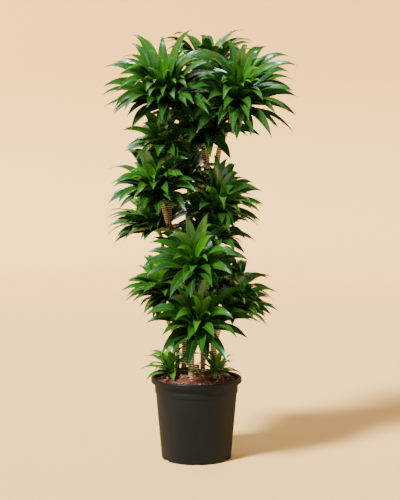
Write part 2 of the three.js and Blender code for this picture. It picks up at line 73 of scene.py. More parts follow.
class Value:
    """A number that varies over a surface: Python's operators on it add Math nodes."""

    def __init__(self, graph: "Graph", socket: bpy.types.NodeSocket) -> None:
        """Wraps a node's output socket."""
        self.graph = graph
        self.socket = socket

    def math(self, operation: str, *others: "Value | float", clamp: bool = False) -> "Value":
        """Adds one Math node that takes this value first.

        Args:
            operation: the Math node's operation.
            others: its second and third operands, where it has them.
            clamp: whether the result is kept between 0 and 1.

        Returns:
            The node's result.
        """
        return self.graph.math(operation, self, *others, clamp=clamp)

    def __add__(self, other: "Value | float") -> "Value":
        """Sum."""
        return self.math("ADD", other)

    __radd__ = __add__

    def __sub__(self, other: "Value | float") -> "Value":
        """Difference."""
        return self.math("SUBTRACT", other)

    def __rsub__(self, other: float) -> "Value":
        """Difference from a plain number."""
        return self.graph.math("SUBTRACT", other, self)

    def __mul__(self, other: "Value | float") -> "Value":
        """Product."""
        return self.math("MULTIPLY", other)

    __rmul__ = __mul__

    def __abs__(self) -> "Value":
        """Size without its sign."""
        return self.math("ABSOLUTE")

    def fraction(self) -> "Value":
        """What is left over the whole number below."""
        return self.math("FRACT")

    def clamped(self) -> "Value":
        """The value kept between 0 and 1."""
        return self.math("ADD", 0.0, clamp=True)

    def step(self, low: float, high: float) -> "Value":
        """Rises smoothly from 0 at low to 1 at high, or falls where low is the larger.

        Args:
            low: where the result is 0.
            high: where the result is 1.

        Returns:
            The smooth step.
        """
        settings = {"interpolation_type": "SMOOTHSTEP"}
        if low < high:
            limits = {"From Min": low, "From Max": high, "To Min": 0.0, "To Max": 1.0}
        else:
            limits = {"From Min": high, "From Max": low, "To Min": 1.0, "To Max": 0.0}
        made = self.graph.node("ShaderNodeMapRange", settings, {"Value": self, **limits})
        return Value(self.graph, made.outputs["Result"])


Colour = tuple[float, float, float, float]
Shade = bpy.types.NodeSocket | Colour


class Graph:
    """The node tree of one material."""

    def __init__(self, name: str) -> None:
        """Starts a material with an empty tree.

        Args:
            name: the material's name.
        """
        self.material = bpy.data.materials.new(name)
        self.material.use_nodes = True
        self.tree = self.material.node_tree
        self.tree.nodes.clear()

    def node(self, kind: str, settings: dict | None = None, inputs: dict | None = None) -> bpy.types.Node:
        """Adds a node of any kind.

        Args:
            kind: the node's type.
            settings: its properties, set before its sockets; "stops" are a colour ramp's.
            inputs: a plain value, a Value or a socket for each named or numbered input.

        Returns:
            The node.
        """
        made = self.tree.nodes.new(kind)
        for name, value in (settings or {}).items():
            if name == "stops":
                self._set_stops(made.color_ramp, value)
            else:
                setattr(made, name, value)
        for name, value in (inputs or {}).items():
            source = value.socket if isinstance(value, Value) else value
            if isinstance(source, bpy.types.NodeSocket):
                self.tree.links.new(source, made.inputs[name])
            else:
                made.inputs[name].default_value = source
        return made

    @staticmethod
    def _set_stops(ramp: bpy.types.ColorRamp, stops: list[tuple[float, Colour]]) -> None:
        """Gives a new colour ramp its stops.

        Args:
            ramp: the ramp, which has two stops so far.
            stops: the place and colour of each, in order.
        """
        ramp.elements[0].position, ramp.elements[0].color = stops[0]
        ramp.elements[1].position, ramp.elements[1].color = stops[-1]
        for place, colour in stops[1:-1]:
            ramp.elements.new(place).color = colour

    def math(self, operation: str, *values: Value | float, clamp: bool = False) -> Value:
        """Adds a Math node.

        Args:
            operation: the node's operation.
            values: what it works on, in order.
            clamp: whether the result is kept between 0 and 1.

        Returns:
            The result.
        """
        settings = {"operation": operation, "use_clamp": clamp}
        made = self.node("ShaderNodeMath", settings, dict(enumerate(values)))
        return Value(self, made.outputs[0])

    def attribute(self, name: str) -> Value:
        """The value that the mesh carries under this name."""
        return Value(self, self.node("ShaderNodeAttribute", {"attribute_name": name}).outputs["Fac"])

    def place(self) -> bpy.types.NodeSocket:
        """The point on the surface, in the object's own metres."""
        return self.node("ShaderNodeTexCoord").outputs["Object"]

    def grazing(self) -> Value:
        """0 where the surface is seen straight on, up to 1 at its outline."""
        return Value(self, self.node("ShaderNodeLayerWeight", None, {"Blend": 0.5}).outputs["Facing"])

    def height(self) -> Value:
        """Height over the floor, in metres."""
        return Value(self, self.node("ShaderNodeSeparateXYZ", None, {"Vector": self.place()}).outputs["Z"])

    def joined(self, x: Value | float, y: Value | float, z: Value | float) -> bpy.types.NodeSocket:
        """A vector of three values."""
        return self.node("ShaderNodeCombineXYZ", None, {"X": x, "Y": y, "Z": z}).outputs[0]

    def stretched(self, factors: tuple[float, float, float]) -> bpy.types.NodeSocket:
        """The point on the surface with each axis multiplied by its own factor."""
        inputs = {0: self.place(), 1: factors}
        return self.node("ShaderNodeVectorMath", {"operation": "MULTIPLY"}, inputs).outputs[0]

    def noise(self, vector: bpy.types.NodeSocket, scale: float, detail: float = 3.0) -> Value:
        """Smooth noise around a half.

        Args:
            vector: where it is read.
            scale: how many features there are to a unit.
            detail: how many finer layers are added.

        Returns:
            The noise, from 0 to 1.
        """
        inputs = {"Vector": vector, "Scale": scale, "Detail": detail, "Roughness": 0.55}
        return Value(self, self.node("ShaderNodeTexNoise", None, inputs).outputs[0])

    def ramp(self, factor: Value, stops: list[tuple[float, Colour]]) -> bpy.types.NodeSocket:
        """A colour that follows a value through these stops."""
        return self.node("ShaderNodeValToRGB", {"stops": stops}, {"Fac": factor}).outputs["Color"]

    def mix(self, factor: Value | float, first: Shade, second: Shade) -> Shade:
        """Mixes two colours.

        Args:
            factor: the share of the second.
            first: the colour at factor 0.
            second: the colour at factor 1.

        Returns:
            The mixed colour's socket.
        """
        made = self.node("ShaderNodeMix", {"data_type": "RGBA"}, {0: factor, 6: first, 7: second})
        return made.outputs[2]

    def brightened(self, colour: Shade, factor: Value) -> Shade:
        """The colour multiplied by a value."""
        inputs = {0: colour if isinstance(colour, bpy.types.NodeSocket) else colour[:3], "Scale": factor}
        return self.node("ShaderNodeVectorMath", {"operation": "SCALE"}, inputs).outputs[0]

    def bump(self, height: Value, distance: float, strength: float = 1.0) -> bpy.types.NodeSocket:
        """The normal of a surface raised by a height.

        Args:
            height: the relief, from 0 to 1.
            distance: what 1 stands for, in metres.
            strength: how much of it shows.

        Returns:
            The normal's socket.
        """
        inputs = {"Height": height, "Distance": distance, "Strength": strength}
        return self.node("ShaderNodeBump", None, inputs).outputs["Normal"]

    def surface(self, **sockets: object) -> bpy.types.Material:
        """Ends the tree with a Principled shader.

        Args:
            sockets: its inputs, with an underscore for each space.

        Returns:
            The finished material.
        """
        inputs = {name.replace("_", " "): value for name, value in sockets.items()}
        shader = self.node("ShaderNodeBsdfPrincipled", None, inputs)
        self.node("ShaderNodeOutputMaterial", None, {"Surface": shader.outputs[0]})
        return self.material


def tint(red: int, green: int, blue: int) -> Colour:
    """Turns a colour on a screen into a shader's.

    Args:
        red: the red of the colour as the eye sees it, in 255ths.
        green: its green.
        blue: its blue.

    Returns:
        The linear colour that a shader takes.
    """
    shares = (channel / 255 for channel in (red, green, blue))
    linear = (s / 12.92 if s <= 0.04045 else ((s + 0.055) / 1.055) ** 2.4 for s in shares)
    return (*linear, 1.0)


# ---- Finishes -----------------------------------------------------------------------------------


@dataclass(frozen=True)
class LeafFinish:
    """Glossy leaf skin: lengthwise veins, a pale midrib, new leaves lighter and undersides dull.

    Gloss is a roughness, veins and patches are how many there are to a half width and to a metre, and the
    relief is in metres. The pale root, midrib and edge each give where they start to show, and how much.
    """

    name: str = "leaf_skin"
    newest: Colour = tint(70, 138, 16)
    grown: Colour = tint(43, 99, 21)
    oldest: Colour = tint(24, 58, 20)
    root: Colour = tint(128, 170, 66)
    underside: Colour = tint(44, 100, 24)
    withered: Colour = tint(150, 112, 62)
    cool: Colour = (0.62, 0.88, 1.0, 1.0)
    gloss: float = 0.21
    coat: float = 0.34
    coat_gloss: float = 0.2
    age_spread: float = 0.22
    grown_at: float = 0.2
    veins: float = 15.0
    vein_run: float = 1.6
    patches: float = 70.0
    pale_root: tuple[float, float] = (0.14, 0.5)
    pale_rib: tuple[float, float] = (0.07, 0.4)
    pale_edge: tuple[float, float] = (0.9, 0.25)
    newest_until: float = 0.03
    apart: float = 90.0
    relief: float = 0.0006

    def material(self) -> bpy.types.Material:
        """Builds the material from the leaf's own across, along, age, chance and under values.

        Returns:
            The material.
        """
        graph = Graph(self.name)
        across = graph.attribute("across")
        along = graph.attribute("along")
        chance = graph.attribute("chance")
        under = graph.attribute("under")
        age = (graph.attribute("age") + (chance - 0.5) * self.age_spread).clamped()
        apart = chance * self.apart  # reads another part of the noise on each leaf
        strands = graph.noise(graph.joined(across * self.veins, along * self.vein_run, apart), 1.0, 4.0)
        mottle = graph.noise(graph.place(), self.patches)
        side = abs(across)
        young = [(0.0, self.newest), (self.newest_until, self.newest)]
        colour = graph.ramp(age, [*young, (self.grown_at, self.grown), (1.0, self.oldest)])
        masks = ((along, self.pale_root, 0.0), (side, self.pale_rib, 0.0), (side, self.pale_edge, 1.0))
        for place, (reach, amount), full_at in masks:
            colour = graph.mix(place.step(reach, full_at) * amount, colour, self.root)
        tip = along.step(0.95, 0.985) * chance.step(0.8, 0.84)
        colour = graph.mix(tip, colour, self.withered)
        colour = graph.mix(under * 0.6, colour, self.underside)
        colour = graph.brightened(colour, 0.36 + strands * 0.62 + mottle * 0.3 + chance * 0.36)
        return graph.surface(
            Base_Color=colour,
            Roughness=self.gloss + mottle * 0.12 + under * 0.4,
            Specular_Tint=self.cool,
            Coat_Weight=self.coat - under * self.coat,
            Coat_Roughness=self.coat_gloss,
            Normal=graph.bump(strands * 0.8 + side.step(0.0, 0.09) * 0.6, self.relief, 0.7),
        )


@dataclass(frozen=True)
class StemFinish:
    """Pale green stem, wrapped in the rings of leaf bases."""

    name: str = "stem_skin"
    light: Colour = tint(156, 180, 92)
    dark: Colour = tint(86, 120, 48)
    bands: tuple[float, float, float] = (30.0, 30.0, 260.0)
    dullness: float = 0.45
    relief: float = 0.0008

    def material(self) -> bpy.types.Material:
        """Builds the material.

        Returns:
            The material.
        """
        graph = Graph(self.name)
        rings = graph.noise(graph.stretched(self.bands), 1.0)
        return graph.surface(
            Base_Color=graph.mix(rings, self.dark, self.light),
            Roughness=self.dullness + rings * 0.1,
            Normal=graph.bump(rings, self.relief),
        )


@dataclass(frozen=True)
class CaneFinish:
    """Tan bark crossed by the close ring scars of fallen leaves."""

    name: str = "ringed_bark"
    pale: Colour = tint(208, 186, 152)
    tan: Colour = tint(132, 106, 80)
    scar: Colour = tint(38, 27, 19)
    cut: Colour = tint(222, 198, 150)
    fibres: tuple[float, float, float] = (420.0, 420.0, 90.0)
    blotches: float = 45.0
    dullness: float = 0.7
    relief: float = 0.0009

    def material(self) -> bpy.types.Material:
        """Builds the material from the cane's own ring, tone and cut values.

        Returns:
            The material.
        """
        graph = Graph(self.name)
        ring = graph.attribute("ring").fraction()
        tone = graph.attribute("tone")
        grain = graph.noise(graph.stretched(self.fibres), 1.0, 4.0)
        blotch = graph.noise(graph.place(), self.blotches)
        scar = ring.step(0.3, 0.1) + ring.step(0.78, 0.95)
        ridge = ring.step(0.2, 0.36) * ring.step(0.78, 0.5)
        colour = graph.mix((tone * 0.7 + blotch * 0.6 - 0.25).clamped(), self.tan, self.pale)
        colour = graph.mix(ridge * 0.55, colour, self.pale)
        colour = graph.mix((scar * 0.95).clamped(), colour, self.scar)
        colour = graph.brightened(colour, 0.7 + grain * 0.6)
        colour = graph.mix(graph.attribute("cut"), colour, self.cut)
        height = ridge * 0.6 - scar * 0.7 + grain * 0.5
        return graph.surface(
            Base_Color=colour,
            Roughness=self.dullness + grain * 0.2,
            Normal=graph.bump(height, self.relief),
        )


@dataclass(frozen=True)
class PotFinish:
    """Black moulded plastic with a cool satin sheen, a fine grain and a little dust."""

    name: str = "moulded_plastic"
    black: Colour = tint(10, 13, 20)
    dusty: Colour = tint(20, 24, 33)
    cool: Colour = (0.6, 0.78, 1.0, 1.0)
    shine: float = 0.22
    sheen: float = 0.36
    clouds: float = 9.0
    streaks: tuple[float, float, float] = (60.0, 60.0, 3.0)
    grains: float = 900.0
    relief: float = 0.00025

    def material(self) -> bpy.types.Material:
        """Builds the material.

        Returns:
            The material.
        """
        graph = Graph(self.name)
        cloud = graph.noise(graph.place(), self.clouds, 4.0)
        streaks = graph.noise(graph.stretched(self.streaks), 1.0)
        grain = graph.noise(graph.place(), self.grains, 2.0)
        dust = (cloud.step(0.42, 0.75) * 0.35 + streaks.step(0.5, 0.8) * 0.25).clamped()
        colour = graph.mix(dust, self.black, self.dusty)
        return graph.surface(
            Base_Color=colour,
            Roughness=self.sheen + cloud * 0.1 + dust * 0.2 + graph.grazing() * 0.35,
            Specular_IOR_Level=self.shine,
            Specular_Tint=self.cool,
            Normal=graph.bump(grain * 0.6 + streaks * 0.4, self.relief, 0.6),
        )


@dataclass(frozen=True)
class SoilFinish:
    """Damp fibre and fine bark between the chips, with painted shade low in the pot."""

    name: str = "soil_fibre"
    dark: Colour = tint(50, 28, 18)
    brown: Colour = tint(112, 66, 40)
    painted_shade: Colour = tint(14, 10, 8)
    crumbs: float = 260.0
    patches: float = 40.0
    unshaded_over: float = 0.2
    fully_shaded_under: float = 0.1
    dullness: float = 0.85
    relief: float = 0.003

    def material(self) -> bpy.types.Material:
        """Builds the material, with painted shade that makes it nearly black low in the pot.

        Returns:
            The material.
        """
        graph = Graph(self.name)
        crumbs = graph.noise(graph.place(), self.crumbs, 5.0)
        patches = graph.noise(graph.place(), self.patches)
        colour = graph.mix((crumbs * 0.8 + patches * 0.5 - 0.15).clamped(), self.dark, self.brown)
        # painted shade: the mix turns nearly black low in the pot, where it shows through the drain notches
        colour = graph.mix(graph.height().step(self.unshaded_over, self.fully_shaded_under), colour, self.painted_shade)
        return graph.surface(
            Base_Color=colour,
            Roughness=self.dullness + crumbs * 0.1,
            Normal=graph.bump(crumbs, self.relief),
        )


@dataclass(frozen=True)
class ChipFinish:
    """Bark chips, from dark and damp to dry and tan."""

    name: str = "bark_chips"
    damp: Colour = tint(64, 36, 24)
    red: Colour = tint(134, 78, 48)
    dry: Colour = tint(198, 148, 102)
    fibres: tuple[float, float, float] = (500.0, 180.0, 500.0)
    dullness: float = 0.75
    relief: float = 0.0012

    def material(self) -> bpy.types.Material:
        """Builds the material from each chip's own tone.

        Returns:
            The material.
        """
        graph = Graph(self.name)
        fibre = graph.noise(graph.stretched(self.fibres), 1.0, 4.0)
        tone = (graph.attribute("tone") + (fibre - 0.5) * 0.5).clamped()
        return graph.surface(
            Base_Color=graph.ramp(tone, [(0.0, self.damp), (0.55, self.red), (1.0, self.dry)]),
            Roughness=self.dullness + fibre * 0.2,
            Normal=graph.bump(fibre, self.relief),
        )


@dataclass(frozen=True)
class BackdropFinish:
    """Plain pale surface for the floor and the sweep behind it."""

    name: str = "backdrop"
    cream: Colour = tint(255, 211, 132)

    def material(self) -> bpy.types.Material:
        """Builds the material.

        Returns:
            The material.
        """
        graph = Graph(self.name)
        fine = graph.noise(graph.place(), 30.0)
        colour = graph.brightened(self.cream, 0.97 + fine * 0.06)
        return graph.surface(Base_Color=colour, Roughness=0.9)


AnyFinish = LeafFinish | StemFinish | CaneFinish | PotFinish | SoilFinish | ChipFinish | BackdropFinish


@cache
def built_material(finish: AnyFinish) -> bpy.types.Material:
    """The one material of a finish."""
    return finish.material()


class Finish(Enum):
    """The finishes that the plant is made of."""

    LEAF = LeafFinish()
    SHOOT = LeafFinish(
        name="young_leaf_skin",
        newest=tint(140, 186, 50),
        grown=tint(62, 124, 32),
        oldest=tint(40, 94, 28),
    )
    STEM = StemFinish()
    CANE = CaneFinish()
    POT = PotFinish()
    SOIL = SoilFinish()
    CHIPS = ChipFinish()
    BACKDROP = BackdropFinish()

    def material(self) -> bpy.types.Material:
        """The finish's material, built when it is first asked for."""
        return built_material(self.value)


# ---- Meshes -------------------------------------------------------------------------------------


def unit(vectors: np.ndarray) -> np.ndarray:
    """Vectors, one to a row, made one unit long."""
    return vectors / np.linalg.norm(vectors, axis=-1, keepdims=True)


def square_to(vectors: np.ndarray, directions: np.ndarray) -> np.ndarray:
    """Unit vectors like the given ones, but square to the directions."""
    along = np.sum(vectors * directions, axis=-1, keepdims=True)
    return unit(vectors - directions * along)


def turns(sides: int) -> np.ndarray:
    """Angles that part a full turn evenly."""
    return np.arange(sides) * 2 * math.pi / sides


@dataclass
class Skin:
    """Points, faces and values of one mesh, gathered from rings of points."""

    points: list[np.ndarray] = field(default_factory=list)
    faces: list[list[int]] = field(default_factory=list)
    materials: list[int] = field(default_factory=list)
    under: list[float] = field(default_factory=list)
    values: dict[str, list[np.ndarray]] = field(default_factory=dict)
    creases: list[np.ndarray] = field(default_factory=list)
    count: int = 0

    def add_points(self, points: np.ndarray, values: dict[str, np.ndarray | float]) -> int:
        """Adds points with their values.

        Args:
            points: one point to a row.
            values: for each name, one value or one for each point.

        Returns:
            The number of the first of them.
        """
        first = self.count
        self.points.append(points)
        self.count += len(points)
        for name, value in values.items():
            self.values.setdefault(name, []).append(np.broadcast_to(value, len(points)))
        return first

    def add_faces(self, faces: np.ndarray, material: int, under: np.ndarray | float = 0.0) -> None:
        """Adds faces between points.

        Args:
            faces: the numbers of the points of each face, one face to a row.
            material: their material's number.
            under: 1 for the lower side of a blade, for all of them or one by one.
        """
        self.faces.extend(faces.tolist())
        self.materials.extend([material] * len(faces))
        self.under.extend(np.broadcast_to(under, len(faces)).tolist())

    def add_tube(
        self,
        rings: np.ndarray,
        values: dict[str, np.ndarray | float],
        tip: bool = False,
        material: int = 0,
        upper: int = 0,
    ) -> None:
        """Adds a closed skin through rings of points.

        Args:
            rings: rings by points by three, each ring counterclockwise about the way ahead.
            values: for each name, one value or rings by points of them.
            tip: whether the last ring's points are all one point.
            material: the number of its material.
            upper: how many of a ring's sides look up, where the tube is a blade; its creases lie between.
        """
        count, sides, _ = rings.shape
        flat = {n: v if np.isscalar(v) else np.asarray(v).reshape(-1) for n, v in values.items()}
        first = self.add_points(rings.reshape(-1, 3), flat)
        index = first + np.arange(count * sides).reshape(count, sides)
        ahead = np.roll(index, -1, axis=1)
        last = count - 1 if not tip else count - 2
        quads = np.stack((index[:last], ahead[:last], ahead[1 : last + 1], index[1 : last + 1]), axis=-1)
        down = np.broadcast_to(np.arange(sides) >= upper, (last, sides)).astype(float) if upper else 0.0
        self.add_faces(quads.reshape(-1, 4), material, down if np.isscalar(down) else down.reshape(-1))
        if tip:
            top = np.full(sides, index[-1, 0])
            fan = np.stack((index[last], ahead[last], top), axis=-1)
            self.add_faces(fan, material, np.arange(sides) >= upper if upper else 0.0)
        else:
            self.add_faces(index[-1][None, :], material)
        self.add_faces(index[0][None, ::-1], material, float(bool(upper)))
        if upper:
            for column in (0, upper):
                line = index[: last + 1, column]
                self.creases.append(np.stack((line[:-1], line[1:]), axis=-1))

    def piece(self, name: str, *finishes: Finish) -> bpy.types.Object:
        """Makes the gathered mesh an object of the scene.

        Args:
            name: the piece's name.
            finishes: its finishes, in the order of their numbers.

        Returns:
            The object.
        """
        mesh = bpy.data.meshes.new(name)
        mesh.from_pydata(np.concatenate(self.points), [], self.faces)
        mesh.update()
        for finish in finishes:
            mesh.materials.append(finish.material())
        mesh.polygons.foreach_set("material_index", self.materials)
        mesh.polygons.foreach_set("use_smooth", [True] * len(self.faces))
        for key, parts in self.values.items():
            attribute = mesh.attributes.new(key, "FLOAT", "POINT")
            attribute.data.foreach_set("value", np.concatenate(parts).astype(np.float32))
        if self.creases:
            attribute = mesh.attributes.new("under", "FLOAT", "FACE")
            attribute.data.foreach_set("value", np.array(self.under, np.float32))
            self._crease(mesh)
        mesh.validate()
        made = bpy.data.objects.new(name, mesh)
        bpy.context.scene.collection.objects.link(made)
        return made

    def _crease(self, mesh: bpy.types.Mesh) -> None:
        """Keeps the shading of the two faces of a blade apart along its edges.

        Args:
            mesh: the piece's mesh, with all its faces.
        """
        ends = np.zeros(len(mesh.edges) * 2, np.int64)
        mesh.edges.foreach_get("vertices", ends)
        ends = np.sort(ends.reshape(-1, 2), axis=1)
        wanted = np.sort(np.concatenate(self.creases), axis=1)
        sharp = np.isin(ends[:, 0] * self.count + ends[:, 1], wanted[:, 0] * self.count + wanted[:, 1])
        attribute = mesh.attributes.new("sharp_edge", "BOOLEAN", "EDGE")
        attribute.data.foreach_set("value", sharp)


def dressed(piece: bpy.types.Object, slot: str, *nodes: str) -> bpy.types.Object:
    """Puts a piece in the place of its CAD nodes.

    Args:
        piece: the finished piece.
        slot: the record's material slot of its finish; not used.
        nodes: the nodes that it stands for.

    Returns:
        The piece.
    """
    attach(piece, BODY)
    if nodes:
        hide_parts(*nodes)
    log.info("%s: %d faces", piece.name, len(piece.data.polygons))
    return piece


# ---- Pot ----------------------------------------------------------------------------------------

CORNER_SHARE = 0.48  # the most of a side that the rounding of one corner takes up


@dataclass(frozen=True)
class Pot:
    """The moulded nursery pot. Millimetres."""

    height: float = 280.0
    rim_radius: float = 155.0
    mouth_radius: float = 145.0
    rim_foot: float = 263.5
    band_foot: float = 229.5
    band_step: float = 2.9
    step_rise: float = 2.4
    line_height: float = 243.0
    heel_radius: float = 119.3
    heel_round: float = 6.0
    flare: float = 0.085
    wall: float = 2.6
    floor: float = 3.0
    sides: int = 144
    corner_steps: int = 5
    sharpest: float = math.radians(35)
    drains: int = 6
    drain_width: float = 31.0
    drain_height: float = 8.0
    drain_depth: float = 20.0

    def wall_radius(self, height: float) -> float:
        """Outside radius of the wall at a height."""
        return self.heel_radius + height * self.flare

    def corners(self) -> list[tuple[float, float, float]]:
        """Lists the corners of the half section, from the axis and back to it.

        Returns:
            The radius, height and rounding of each.
        """
        wall = self.wall_radius(self.band_foot)
        band = wall + self.band_step
        return [
            (0.0, 0.0, 0.0),
            (self.heel_radius - 0.4, 0.0, self.heel_round),
            (wall, self.band_foot - self.step_rise, 1.4),
            (band, self.band_foot, 0.9),
            (band + 0.35, self.line_height - 0.8, 0.3),
            (band - 0.1, self.line_height, 0.3),
            (band + 0.4, self.line_height + 0.8, 0.3),
            (band + 1.0, self.rim_foot, 0.8),
            (self.rim_radius, self.rim_foot, 2.2),
            (self.rim_radius, self.height, 4.6),
            (self.mouth_radius, self.height, 3.6),
            (self.mouth_radius, self.rim_foot + 5.0, 2.0),
            (band - self.wall + 1.0, self.rim_foot - 4.0, 2.0),
            (band - self.wall, self.band_foot, 1.0),
            (wall - self.wall, self.band_foot - self.step_rise, 1.0),
            (self.wall_radius(self.floor) - self.wall, self.floor, 4.0),
            (0.0, self.floor, 0.0),
        ]

    def profile(self) -> list[tuple[float, float]]:
        """The half section with its corners rounded.

        Returns:
            The radius and height of each of its points.
        """
        corners = [np.array(corner) for corner in self.corners()]
        outline = [tuple(corners[0][:2])]
        for before, corner, after in zip(corners, corners[1:], corners[2:]):
            outline.extend(self._rounded(before[:2], corner[:2], after[:2], corner[2]))
        outline.append(tuple(corners[-1][:2]))
        return outline

    def _rounded(
        self, before: np.ndarray, corner: np.ndarray, after: np.ndarray, radius: float
    ) -> list[tuple[float, float]]:
        """Softens a corner, which leaves its sides where an arc would.

        Args:
            before: the corner before it.
            corner: the sharp corner.
            after: the corner after it.
            radius: the arc's radius.

        Returns:
            Its points, in order.
        """
        back = unit(before - corner)
        ahead = unit(after - corner)
        half = math.acos(float(np.clip(back @ ahead, -1, 1))) / 2
        room = CORNER_SHARE * min(np.linalg.norm(before - corner), np.linalg.norm(after - corner))
        reach = min(radius / math.tan(half), room)
        points = []
        for step in range(self.corner_steps + 1):
            share = step / self.corner_steps
            pull = back * (1 - share) ** 2 + ahead * share**2
            points.append(tuple(corner + reach * pull))
        return points

    def mesh(self) -> bpy.types.Object:
        """The turned pot, before its drain notches are cut.

        Returns:
            The piece.
        """
        skin = Skin()
        angles = turns(self.sides)
        rings = [
            np.stack((r * np.cos(angles), r * np.sin(angles), np.full(self.sides, z)), axis=-1)
            for r, z in self.profile()[1:-1]
        ]
        skin.add_tube(np.stack(rings) * MM, {})
        return skin.piece("pot_body", Finish.POT)

    def notches(self) -> bpy.types.Object:
        """The boxes that cut the drain notches out of the heel.

        Returns:
            The boxes, as one piece.
        """
        skin = Skin()
        across = self.drain_width / 2
        near = self.heel_radius - self.drain_depth / 2
        far = self.heel_radius + self.drain_depth / 2
        top = self.drain_height
        for number in range(self.drains):
            angle = -math.pi / 2 + number * 2 * math.pi / self.drains
            out = np.array((math.cos(angle), math.sin(angle), 0.0))
            along = np.cross(UP, out)
            ring = [(near, -across), (far, -across), (far, across), (near, across)]
            rings = [[out * r + along * a + UP * z for r, a in ring] for z in (-top, top)]
            skin.add_tube(np.array(rings) * MM, {})
        return skin.piece("pot_notches", Finish.POT)

    def build(self) -> bpy.types.Object:
        """Turns the pot, cuts its notches and puts it in the CAD pot's place.

        Returns:
            The piece.
        """
        body = self.mesh()
        cutter = self.notches()
        cut = body.modifiers.new("notches", "BOOLEAN")
        cut.operation = "DIFFERENCE"
        cut.object = cutter
        cut.solver = "EXACT"
        bpy.context.view_layer.update()
        finished = bpy.data.meshes.new_from_object(body.evaluated_get(bpy.context.evaluated_depsgraph_get()))
        body.modifiers.clear()
        body.data = finished
        bpy.data.objects.remove(cutter)
        bpy.context.view_layer.objects.active = body
        body.select_set(True)
        bpy.ops.object.shade_smooth_by_angle(angle=self.sharpest)
        body.select_set(False)
        return dressed(body, "pot_plastic", "pot")


# ---- Soil ---------------------------------------------------------------------------------------


# A bark chip: the corners of its section, in half widths and half thicknesses, and where its sections lie
# along it, in lengths, each with its size.
CHIP_SECTION = ((1, 0.1), (0.55, 1), (-0.55, 0.9), (-1, -0.1), (-0.5, -1), (0.5, -0.9))
CHIP_SECTIONS_AT = ((-0.5, 0.35), (-0.28, 0.95), (0.22, 1.0), (0.5, 0.4))


